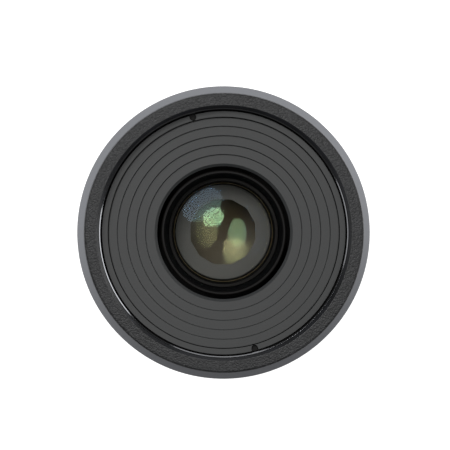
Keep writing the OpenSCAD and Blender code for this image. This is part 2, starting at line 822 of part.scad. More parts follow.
// Solid below a dome of radius R whose rim of radius r lies at height z, and the hollow that
// the same sphere leaves above its rim
module dome(R, r, z) {
    translate([0, 0, z + sag(R, r) - R]) sphere(r = R, $fn = 180);
}

// Six elements of a double-Gauss lens, each cut from spheres and a cylinder
module lens_1() color(glass) difference() {
    intersection() {
        bar(lens_1_r, lens_1_z, lens_1_z + lens_1_rim + lens_1_front_R);
        dome(lens_1_front_R, lens_1_r, lens_1_z + lens_1_rim);
    }
    dome(lens_1_back_R, lens_1_back_r, lens_1_z);
}

module lens_2() color(glass) intersection() {
    bar(lens_23_r, lens_2_z, lens_2_z + lens_2_front_R);
    dome(lens_2_front_R, lens_23_r, lens_2_z + lens_2_rim);
}

module lens_3() color(glass) difference() {
    bar(lens_23_r, lens_3_z, lens_2_z);
    dome(lens_3_back_R, lens_3_back_r, lens_3_z);
}

lens_5_z = lens_4_z - lens_4_t;
module lens_4() color(glass) mirror([0, 0, 1]) difference() {
    bar(lens_45_r, -lens_4_z, -lens_5_z);
    dome(lens_4_front_R, lens_4_front_r, -lens_4_z);
}

module lens_5() color(glass) mirror([0, 0, 1]) intersection() {
    bar(lens_45_r, -lens_5_z, -lens_5_z + lens_5_back_R);
    dome(lens_5_back_R, lens_45_r, -lens_5_z + lens_5_rim);
}

module lens_6() color(glass) intersection() {
    bar(lens_6_r, lens_6_z - lens_6_rim - lens_6_back_R, lens_6_z + lens_6_front_R);
    dome(lens_6_front_R, lens_6_r, lens_6_z);
    mirror([0, 0, 1]) dome(lens_6_back_R, lens_6_r, -lens_6_z + lens_6_rim);
}

// Rear cell: flange screwed into the front cell, with the window that lets the tongue through
lens_6_seat_z = lens_6_z + sag(lens_6_front_R, lens_6_r) - sag(lens_6_front_R, lens_45_r + seat) + touch;
module rear_cell() color(black) difference() {
    turned([
        [lens_6_r + seat, rear_cell_z],
        [barrel_r, rear_cell_z],
        [barrel_r, cell_z],
        [recess_r - seat, cell_z],
        [recess_r - seat, chamber_z],
        [clear_r, chamber_z],
        [clear_r, lens_4_z],
        [lens_45_r + seat, lens_4_z],
        [lens_45_r + seat, lens_6_seat_z],
        [lens_6_r + seat, lens_6_seat_z]
    ]);
    ring_arc(
        tongue_r - window_play, chamber_r + seat, cell_z - cut, chamber_z + cut,
        tongue_angle + ring_opens - tongue_half_angle - window_slack_angle,
        ring_closes - ring_opens + 2 * tongue_half_angle + 2 * window_slack_angle);
    translate([0, 0, cell_z]) around(cell_screws_n, cell_screw_pcr, cell_screw_start, cell_screw_step)
        mirror([0, 0, 1]) cap_screw_room(cell_screw_r, cell_head_r, cell_head_h, cell_screw_len);
}

module cell_screws() color(steel) translate([0, 0, cell_z])
    around(cell_screws_n, cell_screw_pcr, cell_screw_start, cell_screw_step)
        mirror([0, 0, 1]) cap_screw(cell_screw_r, cell_head_r, cell_head_h, cell_screw_len);

spacer_top_z = lens_5_z - lens_5_rim - sag(lens_5_back_R, lens_45_r) + sag(lens_5_back_R, spacer_r) - touch;
spacer_end_z = lens_6_z + sag(lens_6_front_R, lens_6_r) - sag(lens_6_front_R, spacer_r) + touch;
module rear_spacer() color(black) plain_ring(spacer_r, lens_45_r, spacer_end_z, spacer_top_z);

rear_retainer_top_z =
    lens_6_z - lens_6_rim - sag(lens_6_back_R, lens_6_r) + sag(lens_6_back_R, rear_nose_r) - touch;
module rear_retainer() color(black)
    plain_ring(rear_nose_r, lens_6_r, rear_cell_z + edge, rear_retainer_top_z);

// Three stepped followers: shank in the drum, bush in the guide slot, tip in the helical slot
module cam_followers() color(steel) translate([0, 0, follower_z]) around(followers, 0, follower_angle) {
    spoke(follower_shank_r, drum_r - drum_wall + edge, guide_bore_r);
    spoke(follower_bush_r, guide_bore_r, guide_r);
    spoke(follower_tip_r, guide_r - edge, sleeve_r - edge);
}

// Plate in front of the blades, with one pivot hole for each
module iris_pivot_plate() color(black) difference() {
    plain_ring(clear_r, chamber_r - seat, pivot_plate_z, shelf_z);
    around(blades, pivot_r, -angle_rest) bar(pivot_hole_r, pivot_plate_z - cut, shelf_z + cut);
}

// Place of a blade's drive pin at a blade angle of b degrees from rest, as [radius, angle]
// from the blade's own pivot direction
function tail_angle(b) = tail_lead_angle - (b - blade_opens);
function drive_pin_r_at(b) =
    sqrt(pivot_r * pivot_r + pin_reach * pin_reach + 2 * pivot_r * pin_reach * cos(tail_angle(b)));
function drive_pin_turn_at(b) =
    -atan2(pin_reach * sin(tail_angle(b)), pivot_r + pin_reach * cos(tail_angle(b)));

// Cam ring: spiral slots that follow the drive pins, and a tongue for the iris ring's pin
function cam_slot_point(b) = on_circle(drive_pin_r_at(b), drive_pin_turn_at(b) - iris_ratio * b);
function cam_slot_side(b, side) =
    let (ahead = cam_slot_point(b + 0.5), behind = cam_slot_point(b - 0.5), d = ahead - behind)
    cam_slot_point(b) + side * cam_slot_w / 2 * [-d[1], d[0]] / norm(d);
cam_slot_from = blade_opens - cam_slot_overrun;
cam_slot_to = blade_closes + cam_slot_overrun;
function cam_slot_b(i) = cam_slot_from + (cam_slot_to - cam_slot_from) * i / cam_slot_steps;
module cam_slot() translate([0, 0, cam_ring_z - cut]) {
    sides = concat(
        [for (i = [0 : cam_slot_steps]) cam_slot_side(cam_slot_b(i), 1)],
        [for (i = [0 : cam_slot_steps]) cam_slot_side(cam_slot_b(cam_slot_steps - i), -1)]
    );
    linear_extrude(cam_ring_t + 2 * cut) polygon(sides);
    for (b = [cam_slot_from, cam_slot_to])
        translate(cam_slot_point(b)) cylinder(d = cam_slot_w, h = cam_ring_t + 2 * cut);
}

module iris_cam_ring() color(brass) difference() {
    union() {
        plain_ring(cam_ring_bore_r, cam_ring_r, cam_ring_z, cam_ring_z + cam_ring_t);
        ring_arc(
            tongue_r, cam_ring_r, tongue_end_z, cam_ring_z + cam_ring_t / 2,
            tongue_angle - tongue_half_angle, 2 * tongue_half_angle);
    }
    for (i = [0 : blades - 1]) rotate([0, 0, i * 360 / blades - angle_rest]) cam_slot();
    rotate([0, 0, tongue_angle]) tongue_slot();
}

// Slot along the tongue, which lets the cell travel while the drive pin stays in place
module tongue_slot() {
    half = drive_r + drive_play;
    x_lo = tongue_r - cut;
    x_hi = cam_ring_r + cut;
    z_lo = drive_z - focus_travel - 2 * drive_play;
    z_hi = drive_z + 2 * drive_play;
    for (z = [z_lo, z_hi]) translate([0, 0, z]) spoke(half, x_lo, x_hi);
    translate([x_lo, -half, z_lo]) cube([x_hi - x_lo, 2 * half, z_hi - z_lo]);
}

// Iris ring: gear seat and scale band, with the drive pin screwed in from outside
module iris_ring() color(black) difference() {
    turned([
        [iris_seat_r + run, iris_z + gap],
        [iris_gear_seat_r, iris_z + gap],
        [iris_gear_seat_r, iris_band_z],
        [iris_r - edge, iris_band_z],
        [iris_r, iris_band_z + edge],
        [iris_r, index_z - gap - edge],
        [iris_r - edge, index_z - gap],
        [iris_seat_r + run, index_z - gap]
    ]);
    translate([0, 0, drive_z]) rotate([0, 0, tongue_angle]) {
        spoke(drive_r + seat, iris_seat_r - cut, iris_r);
        spoke(drive_head_r + seat, iris_r - drive_head_h - edge / 2, iris_r + cut);
    }
}

module iris_gear() color(black)
    gear_ring(iris_teeth, iris_gear_seat_r + seat, iris_band_z - iris_gear_w, iris_gear_w);

module iris_drive_pin() color(steel) translate([0, 0, drive_z]) rotate([0, 0, tongue_angle])
    difference() {
        union() {
            spoke(drive_r, tongue_r + edge, iris_r - drive_head_h);
            spoke(drive_head_r, iris_r - drive_head_h - edge / 2, iris_r - edge / 2);
        }
        translate([iris_r - drive_head_h / 2, -drive_head_r, -edge / 2])
            cube([drive_head_h, 2 * drive_head_r, edge]);
    }

// Blade outline about the axis at full opening: a straight edge along x = stop_open_r, then an
// arc that stays outside the aperture, with an ear at the pivot and a tail to the drive pin
blade_in_r = stop_open_r / cos(180 / blades);
blade_tip_y = sqrt(blade_out_r * blade_out_r - stop_open_r * stop_open_r) - blade_tip_cut;
blade_tip_angle = asin(blade_tip_y / blade_out_r);
blade_back = -angle_open - blade_back_angle;
arc_steps = 14;
function arc_points(r, a, b) = [for (i = [0 : arc_steps]) on_circle(r, a + (b - a) * i / arc_steps)];
blade_body = concat(
    [[stop_open_r, blade_tip_y]],
    arc_points(blade_in_r, -180 / blades, blade_back),
    arc_points(blade_out_r, blade_back, blade_tip_angle)
);
module blade_outline() {
    polygon(blade_body);
    rotate(-angle_open) translate([pivot_r, 0]) {
        circle(r = ear_r);
        translate([-pivot_r + blade_in_r + ear_r, -ear_r]) square([pivot_r - blade_in_r - ear_r, 2 * ear_r]);
        rotate(-tail_lead_angle) {
            translate([0, -tail_w / 2]) square([pin_reach, tail_w]);
            translate([pin_reach, 0]) circle(d = tail_w);
        }
    }
}

// Blade i at rest, with its two pins. The pivot's angle and the turn from full opening to rest
// cancel, so the outline only shifts
module iris_blade(i) color(blade_grey) {
    z = blade_z + i * blade_pitch;
    pivot = on_circle(pivot_r, -angle_rest);
    tail = -angle_rest - tail_angle(0);
    rotate([0, 0, i * 360 / blades]) {
        translate([0, 0, z]) linear_extrude(blade_t)
            translate(pivot - on_circle(pivot_r, -angle_open)) blade_outline();
        translate(pivot) {
            bar(pivot_pin_r, z + blade_t / 2, pivot_pin_end);
            rotate([0, 0, tail]) translate([pin_reach, 0, 0])
                bar(drive_pin_r, cam_ring_z + edge / 2, z + blade_t / 2);
        }
    }
}

rear_barrel();
guide_barrel();
index_band();
front_ring();
front_baffle();
mount_flange();
mount_shim();
mount_screws();
rear_baffle();
front_ring_screws();
barrel_screws();
focus_stop_pin();
focus_ring();
focus_gear();
cam_sleeve();
focus_ring_screws();
focus_stop_lug();
front_cell();
rear_cell();
front_retainer();
inner_retainer();
lens_1();
lens_2();
lens_3();
lens_4();
lens_5();
lens_6();
rear_spacer();
rear_retainer();
iris_pivot_plate();
cell_screws();
cam_followers();
iris_ring();
iris_gear();
iris_drive_pin();
iris_cam_ring();
iris_blade(0);  // iris_blade_01
iris_blade(1);  // iris_blade_02
iris_blade(2);  // iris_blade_03
iris_blade(3);  // iris_blade_04
iris_blade(4);  // iris_blade_05
iris_blade(5);  // iris_blade_06
iris_blade(6);  // iris_blade_07
iris_blade(7);  // iris_blade_08
iris_blade(8);  // iris_blade_09
iris_blade(9);  // iris_blade_10
iris_blade(10);  // iris_blade_11
iris_blade(11);  // iris_blade_12
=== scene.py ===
"""Cine lens seen from the front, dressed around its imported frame."""

import logging
import math
from dataclasses import dataclass, field
from enum import Enum
from functools import partial
from typing import Any, Callable, Sequence

import bpy
import numpy as np
from bpy.types import ID, Material, Node, NodeSocket, NodeTree, Object
from mathutils import Matrix, Vector


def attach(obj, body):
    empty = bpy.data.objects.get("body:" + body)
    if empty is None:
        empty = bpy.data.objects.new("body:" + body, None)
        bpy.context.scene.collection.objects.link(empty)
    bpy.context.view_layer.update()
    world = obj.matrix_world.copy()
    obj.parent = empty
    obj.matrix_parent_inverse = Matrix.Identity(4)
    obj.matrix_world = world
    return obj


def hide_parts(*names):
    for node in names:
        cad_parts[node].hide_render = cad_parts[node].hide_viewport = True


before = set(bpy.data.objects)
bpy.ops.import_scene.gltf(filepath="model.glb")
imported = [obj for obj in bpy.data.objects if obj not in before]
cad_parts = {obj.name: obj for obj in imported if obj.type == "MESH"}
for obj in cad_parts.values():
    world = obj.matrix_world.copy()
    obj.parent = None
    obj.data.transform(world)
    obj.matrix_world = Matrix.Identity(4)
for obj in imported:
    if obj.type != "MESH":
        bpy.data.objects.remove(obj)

LOG = logging.getLogger("cine_lens")
MM = 0.001
FULL_TURN = 2.0 * math.pi
# Columns round a turned piece, points on a broken corner, and the share of an edge it may take.
COLUMNS = 288
FILLET_STEPS = 5
FILLET_SHARE = 0.45
# An outline that bends by more than this shows a sharp edge.
SHARP = math.radians(24)
# Steps of a lens face from rim to pole, and the gap drawn for the cement between two elements.
FACE_STEPS = 20
CEMENT = 0.02

Grid = np.ndarray
Corner = tuple[float, ...]
Range = tuple[float, float]
Adder = Callable[..., Node]
Displace = Callable[[Grid, Grid, Grid], tuple[Grid, Grid]]


class Body(str, Enum):
    """Moving bodies of the lens."""

    HOUSING = "housing"
    FOCUS = "focus_ring"
    CELL = "optical_cell"
    IRIS = "iris_ring"


class Slot(str, Enum):
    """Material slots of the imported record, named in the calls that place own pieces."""

    BLACK = "black_anodised_aluminium"
    WRINKLE = "wrinkle_black_coat"
    SATIN = "satin_black_aluminium"
    MATT = "matt_black_retainer"
    GREY = "grey_anodised_aluminium"
    GLASS = "coated_glass"


def linear(colour: str) -> tuple[float, float, float, float]:
    """Turns an sRGB hex colour to linear light.

    Args:
        colour: Six hex digits after a hash.

    Returns:
        Linear red, green and blue, and an alpha of one.
    """
    parts = [int(colour[i : i + 2], 16) / 255 for i in (1, 3, 5)]
    red, green, blue = (p / 12.92 if p <= 0.04045 else ((p + 0.055) / 1.055) ** 2.4 for p in parts)
    return (red, green, blue, 1.0)


def add_node(tree: NodeTree, kind: str, settings: dict[str, Any] | None = None,
             inputs: dict[str | int, Any] | None = None,
             stops: Sequence[tuple[float, str]] = ()) -> Node:
    """Adds a shader node with its settings, values and links.

    Args:
        tree: Node tree that takes the node.
        kind: Node type without its ShaderNode prefix.
        settings: Attributes of the node.
        inputs: Socket name or number to a value, to the output socket that is linked to it, or
            to a node, whose first output is linked.
        stops: Place from 0 to 1 and hex colour of both stops of a colour ramp.

    Returns:
        The new node.
    """
    node = tree.nodes.new(f"ShaderNode{kind}")
    for key, value in (settings or {}).items():
        setattr(node, key, value)
    for key, value in (inputs or {}).items():
        source = value.outputs[0] if isinstance(value, Node) else value
        if isinstance(source, NodeSocket):
            tree.links.new(source, node.inputs[key])
        else:
            node.inputs[key].default_value = source
    for i, (position, colour) in enumerate(stops):
        node.color_ramp.elements[i].position = position
        node.color_ramp.elements[i].color = linear(colour)
    return node


def features(where: Any, size_mm: float, detail: float = 3.0) -> dict[str, Any]:
    """Inputs of a noise pattern whose features are size_mm wide."""
    return {"Vector": where, "Scale": 1 / (size_mm * MM), "Detail": detail}


def between(value: Any, low: float, high: float) -> dict[str, Any]:
    """Inputs that map a value from 0…1 to low…high."""
    return {"Value": value, "To Min": low, "To Max": high}


def turning_marks(add: Adder, where: NodeSocket, spacing_mm: float) -> Node:
    """Pattern that a lathe tool leaves, which changes with radius plus height.

    Args:
        add: Adds a node to the tree.
        where: Object coordinates.
        spacing_mm: Spacing of the marks.

    Returns:
        The pattern's last node.
    """
    split = add("SeparateXYZ", inputs={"Vector": where})
    flat = add("CombineXYZ", inputs={"X": split.outputs["X"], "Y": split.outputs["Y"]})
    radius = add("VectorMath", {"operation": "LENGTH"}, {0: flat}).outputs["Value"]
    along = add("Math", {"operation": "ADD"}, {0: radius, 1: split.outputs["Z"]})
    return add("TexNoise", inputs=features(add("CombineXYZ", inputs={"X": along}), spacing_mm))


@dataclass(frozen=True)
class Surface:
    """A procedural finish, named for the real one."""

    name: str

    def make(self) -> Material:
        """Builds the node material."""
        material = bpy.data.materials.new(self.name)
        material.use_nodes = True
        material.node_tree.nodes.clear()
        add = partial(add_node, material.node_tree)
        where = add("TexCoord").outputs["Object"]
        add("OutputMaterial", inputs={"Surface": self.shader(add, where)})
        return material

    def shader(self, add: Adder, where: NodeSocket) -> Node:
        """Adds the nodes of the finish.

        Args:
            add: Adds a node to the tree.
            where: Object coordinates.

        Returns:
            The shader node.
        """
        raise NotImplementedError


@dataclass(frozen=True)
class Anodised(Surface):
    """Anodised aluminium: a dyed oxide skin over machined or bead-blasted metal.

    The eye sees a dark, slightly cloudy colour under a thin sheen, with grit or fine turning
    marks where the light grazes it. grain_mm is the size of the grit and turn_mm the spacing of
    the turning marks, drawn coarser than the real 0.05 mm so that they show.
    """

    dark: str
    light: str
    roughness: Range
    metallic: float = 0.0
    grain_mm: float = 0.35
    grain_depth: float = 0.15
    turn_mm: float = 0.0
    turn_depth: float = 0.0
    coat: float = 0.0
    specular: float = 0.5
    cloud_mm: float = 9.0
    relief_mm: float = 0.1

    def shader(self, add: Adder, where: NodeSocket) -> Node:
        """Adds the nodes of the finish."""
        cloud = add("TexNoise", inputs=features(where, self.cloud_mm, 4.0))
        grit = add("TexNoise", inputs=features(where, self.grain_mm, 2.0))
        relief = {"Distance": self.relief_mm * MM}
        bump = add("Bump", inputs={"Height": grit, "Strength": self.grain_depth, **relief})
        if self.turn_mm > 0:
            marks = turning_marks(add, where, self.turn_mm)
            bump = add("Bump", inputs={"Height": marks, "Strength": self.turn_depth,
                                       "Normal": bump, **relief})
        return add("BsdfPrincipled", inputs={
            "Base Color": add("ValToRGB", inputs={"Fac": cloud},
                              stops=((0.3, self.dark), (0.7, self.light))),
            "Roughness": add("MapRange", inputs=between(cloud, *self.roughness)),
            "Metallic": self.metallic,
            "Coat Weight": self.coat,
            "Specular IOR Level": self.specular,
            "Normal": bump,
        })


@dataclass(frozen=True)
class WrinkleCoat(Surface):
    """Wrinkle enamel: baked paint that shrinks into a net of soft folds 0.6 mm apart.

    The folds catch small points of light on a flat black ground, so the face looks grainy.
    """

    name: str = "wrinkle enamel"
    dark: str = "#0b0c0d"
    light: str = "#141517"
    roughness: Range = (0.45, 0.65)
    specular: float = 0.4
    fold_mm: float = 0.6
    bend_mm: float = 1.6
    fine_mm: float = 0.3
    fine_share: float = 0.45
    cloud_mm: float = 7.0
    depth: float = 0.45
    relief_mm: float = 0.35

    def shader(self, add: Adder, where: NodeSocket) -> Node:
        """Adds the nodes of the finish."""
        bend = add("TexNoise", inputs=features(where, self.bend_mm, 2.0))
        bent = add("VectorMath", {"operation": "MULTIPLY_ADD"},
                   {0: bend, 1: (self.fold_mm * MM,) * 3, 2: where})
        folds = add("TexVoronoi", {"feature": "SMOOTH_F1"}, {
            "Vector": bent, "Scale": 1 / (self.fold_mm * MM), "Smoothness": 0.5})
        fine = add("TexNoise", inputs=features(where, self.fine_mm, 2.0))
        height = add("Math", {"operation": "MULTIPLY_ADD"}, {0: fine, 1: self.fine_share, 2: folds})
        cloud = add("TexNoise", inputs=features(where, self.cloud_mm))
        return add("BsdfPrincipled", inputs={
            "Base Color": add("ValToRGB", inputs={"Fac": cloud},
                              stops=((0.3, self.dark), (0.7, self.light))),
            "Roughness": add("MapRange", inputs=between(folds, *self.roughness)),
            "Specular IOR Level": self.specular,
            "Normal": add("Bump", inputs={
                "Height": height, "Strength": self.depth, "Distance": self.relief_mm * MM}),
        })


@dataclass(frozen=True)
class BareMetal(Surface):
    """Turned steel or brass: clean metal whose tool marks draw a soft cross of light."""

    dark: str
    light: str
    roughness: Range = (0.22, 0.34)
    mark_mm: float = 0.25
    mark_depth: float = 0.2
    cloud_mm: float = 5.0
    relief_mm: float = 0.05

    def shader(self, add: Adder, where: NodeSocket) -> Node:
        """Adds the nodes of the finish."""
        marks = turning_marks(add, where, self.mark_mm)
        cloud = add("TexNoise", inputs=features(where, self.cloud_mm))
        return add("BsdfPrincipled", inputs={
            "Base Color": add("ValToRGB", inputs={"Fac": cloud},
                              stops=((0.3, self.dark), (0.7, self.light))),
            "Roughness": add("MapRange", inputs=between(marks, *self.roughness)),
            "Metallic": 1.0,
            "Normal": add("Bump", inputs={
                "Height": marks, "Strength": self.mark_depth, "Distance": self.relief_mm * MM}),
        })


@dataclass(frozen=True)
class CoatedGlass(Surface):
    """Optical glass with a vacuum coating: it passes light and mirrors a faint tinted part.

    The faces don't bend the light here, because the model has real walls behind them. The
    mirrored share grows towards the rim as Fresnel's law has it, and the tint shifts there. haze
    is the share of light that a brown diffuse layer scatters: partly a dusty film on the face,
    partly painted reflection that stands in for the faint brown glints of the inner coatings.
    """

    tint: str
    edge_tint: str
    mirror: float
    haze: float = 0.0
    edge_mirror: float = 0.6
    film_mm: float = 6.0

    def shader(self, add: Adder, where: NodeSocket) -> Node:
        """Adds the nodes of the finish."""
        film = add("TexNoise", inputs=features(where, self.film_mm, 2.0))
        facing = add("LayerWeight", inputs={"Blend": 0.5}).outputs["Facing"]
        slant = add("MapRange", inputs={"Value": facing, "From Max": 0.1})
        fresnel = add("LayerWeight", inputs={"Blend": 0.15}).outputs["Fresnel"]
        share = add("MapRange", inputs={
            "From Min": 0.02, **between(fresnel, self.mirror, self.edge_mirror)})
        mirror = add("BsdfPrincipled", inputs={
            "Base Color": add("ValToRGB", inputs={"Fac": slant},
                              stops=((0.12, self.tint), (0.4, self.edge_tint))),
            "Metallic": 1.0,
            "Roughness": add("MapRange", inputs=between(film, 0.03, 0.06)),
        })
        clear = add("BsdfTransparent", inputs={"Color": linear("#fdfdfc")})
        # Brown diffuse layer: partly a dusty film, partly painted reflection in place of the inner
        # coatings' brown glints.
        dust_and_painted_reflection = add("BsdfDiffuse", inputs={
            "Color": add("ValToRGB", inputs={"Fac": film},
                         stops=((0.3, "#8a7460"), (0.7, "#786854")))})
        inside = add("MixShader", inputs={0: self.haze, 1: clear, 2: dust_and_painted_reflection})
        return add("MixShader", inputs={0: share, 1: inside, 2: mirror})


@dataclass(frozen=True)
class EnamelFill(Surface):
    """Enamel pressed into engraving: a matt, slightly uneven paint."""

    colour: str
    worn: str
    patch_mm: float = 1.2
    relief_mm: float = 0.05

    def shader(self, add: Adder, where: NodeSocket) -> Node:
        """Adds the nodes of the finish."""
        patch = add("TexNoise", inputs=features(where, self.patch_mm))
        return add("BsdfPrincipled", inputs={
            "Base Color": add("ValToRGB", inputs={"Fac": patch},
                              stops=((0.25, self.worn), (0.6, self.colour))),
            "Roughness": 0.55,
            "Normal": add("Bump", inputs={
                "Height": patch, "Strength": 0.2, "Distance": self.relief_mm * MM}),
        })


@dataclass(frozen=True)
class PaperFloor(Surface):
    """White paper floor that glows by its own emission.

    The camera sees it plain white. To the lens its glow is painted light, brighter on one side than
    on the other, and it fades to nothing in a ring under the lens's foot, a painted contact shadow.
    """

    name: str = "white paper floor"
    fibre_mm: float = 40.0
    painted_shadow_mm: Range = (24.0, 47.0)
    painted_light_way: tuple[float, float, float] = (-0.1, 0.95, 0.0)
    painted_light_span: Range = (-1.1, 0.3)
    painted_glow: Range = (0.12, 1.15)

    def shader(self, add: Adder, where: NodeSocket) -> Node:
        """Adds the nodes of the finish."""
        soft = {"interpolation_type": "SMOOTHSTEP"}
        fibre = add("TexNoise", inputs=features(where, self.fibre_mm))
        spot = add("VectorMath", {"operation": "LENGTH"}, {0: where}).outputs["Value"]
        # Painted contact shadow: the glow fades out in a ring under the lens's foot.
        outside_painted_shadow = add("MapRange", soft, {
            "Value": spot, "From Min": self.painted_shadow_mm[0] * MM, "From Max": self.painted_shadow_mm[1] * MM})
        # Painted light: the glow that the lens feels rises towards one side and falls away on the
        # other.
        side = add("VectorMath", {"operation": "NORMALIZE"}, {0: where})
        towards_painted_light = add("VectorMath", {"operation": "DOT_PRODUCT"}, {0: side, 1: self.painted_light_way})
        felt = add("MapRange", soft, {
            "From Min": self.painted_light_span[0], "From Max": self.painted_light_span[1],
            **between(towards_painted_light.outputs["Value"], *self.painted_glow)})
        ray = add("LightPath").outputs["Is Camera Ray"]
        seen = add("MapRange", inputs=between(ray, felt, 1.0))
        return add("BsdfPrincipled", inputs={
            "Base Color": add("ValToRGB", inputs={"Fac": fibre},
                              stops=((0.3, "#a8a8a8"), (0.7, "#acacac"))),
            "Roughness": 0.9,
            "Emission Color": linear("#ffffff"),
            "Emission Strength": add("Math", {"operation": "MULTIPLY"}, {0: seen, 1: outside_painted_shadow}),
        })


def broken_corners(section: Sequence[Corner], closed: bool) -> tuple[Grid, Grid]:
    """Breaks the corners of a half section.

    A corner (r, z, fillet, finish) turns into the parabola that leaves one edge and joins the
    next at the distance fillet / tan(half angle): (1-t)^2 A + 2t(1-t) C + t^2 B.

    Args:
        section: Corners in millimetres. Fillet and finish may be left out and are then zero.
        closed: True where the last corner joins the first.

    Returns:
        Outline points, n by 2, and the finish of the edge that starts at each.
    """
    padded = [(*corner, *(0.0, 0)[len(corner) - 2:]) for corner in section]
    places = np.array([corner[:2] for corner in padded], float)
    points: list[Grid] = []
    finishes: list[int] = []
    for i, (_, _, fillet, finish) in enumerate(padded):
        here = places[i]
        back, ahead = places[i - 1] - here, places[(i + 1) % len(places)] - here
        at_end = not closed and i in (0, len(places) - 1)
        if fillet <= 0 or at_end:
            points.append(here[None])
            finishes.append(int(finish))
            continue
        lengths = np.linalg.norm(back), np.linalg.norm(ahead)
        back, ahead = back / lengths[0], ahead / lengths[1]
        half = math.acos(float(np.clip(back @ ahead, -1, 1))) / 2
        cut = min(fillet / math.tan(half), FILLET_SHARE * lengths[0], FILLET_SHARE * lengths[1])
        t = np.linspace(0, 1, FILLET_STEPS)[:, None]
        leave, join = here + back * cut, here + ahead * cut
        points.append((1 - t) ** 2 * leave + 2 * t * (1 - t) * here + t**2 * join)
        finishes.extend([int(finish)] * FILLET_STEPS)
    outline = np.concatenate(points)
    slots = np.array(finishes)
    after = np.roll(outline, -1, axis=0)
    if np.sum(outline[:, 0] * after[:, 1] - after[:, 0] * outline[:, 1]) < 0:
        outline = outline[::-1]
        slots = np.roll(slots[::-1], -1)
    return outline, slots


def unit(vectors: Grid) -> Grid:
    """Scales vectors to length one along the last axis."""
    return vectors / np.maximum(np.linalg.norm(vectors, axis=-1, keepdims=True), 1e-12)


def link(name: str, data: ID) -> Object:
    """Puts data into a new object of the scene."""
    thing = bpy.data.objects.new(name, data)
    bpy.context.scene.collection.objects.link(thing)
    return thing


def new_piece(name: str, verts: Grid, faces: list[list[int]], finishes: Sequence[Material],
              slots: Grid | None = None, normals: Grid | None = None) -> Object:
    """Puts corners and faces into a mesh object at the origin.

    Args:
        name: Name of the piece.
        verts: Places in millimetres, n by 3.
        faces: Corner numbers of each face.
        finishes: One material for each slot.
        slots: Slot of each face.
        normals: Normal at each corner of each face, in the order of the faces.

    Returns:
        The piece, linked to the scene.
    """
    mesh = bpy.data.meshes.new(name)
    mesh.from_pydata((verts * MM).tolist(), [], faces)
    for finish in finishes:
        mesh.materials.append(finish)
    if slots is not None:
        mesh.polygons.foreach_set("material_index", slots.astype(np.int32))
    mesh.polygons.foreach_set("use_smooth", np.ones(len(faces), dtype=bool))
    mesh.update()
    if normals is not None:
        mesh.normals_split_custom_set(normals.reshape(-1, 3).tolist())
    return link(name, mesh)


def turned(name: str, section: Sequence[Corner], finishes: Sequence[Material],
           closed: bool = True, angles: Grid | None = None,
           displace: Displace | None = None) -> Object:
    """Turns a half section about the optical axis.

    A point of the surface is (r cos a, r sin a, z) for angle a and the section's (r, z). The
    normal is the cross product of the way round and the way along. It is shared across an
    outline corner only where the outline bends by less than SHARP.

    Args:
        name: Name of the piece.
        section: Corners for broken_corners. An open one starts and ends on the axis.
        finishes: One material for each finish number.
        closed: True for a ring, False for a solid that reaches the axis.
        angles: Angles of the columns in radians, or none for an even spread.
        displace: Turns the angle, r and z grids into new r and z grids.

    Returns:
        The piece.
    """
    outline, slots = broken_corners(section, closed)
    a = np.linspace(0, FULL_TURN, COLUMNS, endpoint=False) if angles is None else angles
    rows, cols = len(outline), len(a)
    edges = rows if closed else rows - 1
    angle, r = np.meshgrid(a, outline[:, 0], indexing="ij")
    z = np.broadcast_to(outline[:, 1], r.shape).copy()
    if displace is not None:
        r, z = displace(angle, r, z)
    points = np.stack([r * np.cos(angle), r * np.sin(angle), z], axis=-1)
    nxt = (np.arange(edges) + 1) % rows
    along = unit(points[:, nxt] - points[:, :edges])
    tangent = np.stack([-np.sin(angle), np.cos(angle), 0 * angle], axis=-1)
    chord = np.roll(points, -1, axis=0) - np.roll(points, 1, axis=0)
    wide = np.linalg.norm(chord, axis=-1, keepdims=True) > 1e-6
    way_round = unit(np.where(wide, chord, tangent))
    step = unit(outline[nxt] - outline[:edges])
    bend = np.sum(step * np.roll(step, 1, axis=0), axis=1) > math.cos(SHARP)
    smooth = np.zeros(rows, dtype=bool)
    smooth[:edges] = bend if closed else np.where(np.arange(edges) == 0, False, bend)
    length = np.linalg.norm(points[:, nxt] - points[:, :edges], axis=-1, keepdims=True)
    before = np.roll(along, 1, axis=1)
    blend = unit(along * length + before * np.roll(length, 1, axis=1))
    start = np.where(smooth[:edges][None, :, None], blend, along)
    end = np.where(smooth[nxt][None, :, None], np.roll(blend, -1, axis=1), along)
    n_start = unit(np.cross(way_round[:, :edges], start))
    n_end = unit(np.cross(way_round[:, nxt], end))
    i, j = np.meshgrid(np.arange(cols), np.arange(edges), indexing="ij")
    ni, nj = (i + 1) % cols, (j + 1) % rows
    faces = np.stack([i * rows + j, ni * rows + j, ni * rows + nj, i * rows + nj], axis=-1)
    normals = np.stack([n_start, np.roll(n_start, -1, axis=0), np.roll(n_end, -1, axis=0), n_end],
                       axis=2)
    face_slots = np.broadcast_to(slots[:edges], (cols, edges))
    if closed:
        return new_piece(name, points.reshape(-1, 3), faces.reshape(-1, 4).tolist(), finishes,
                         face_slots.reshape(-1), normals)
    return capped(name, points, faces, normals, face_slots, finishes)


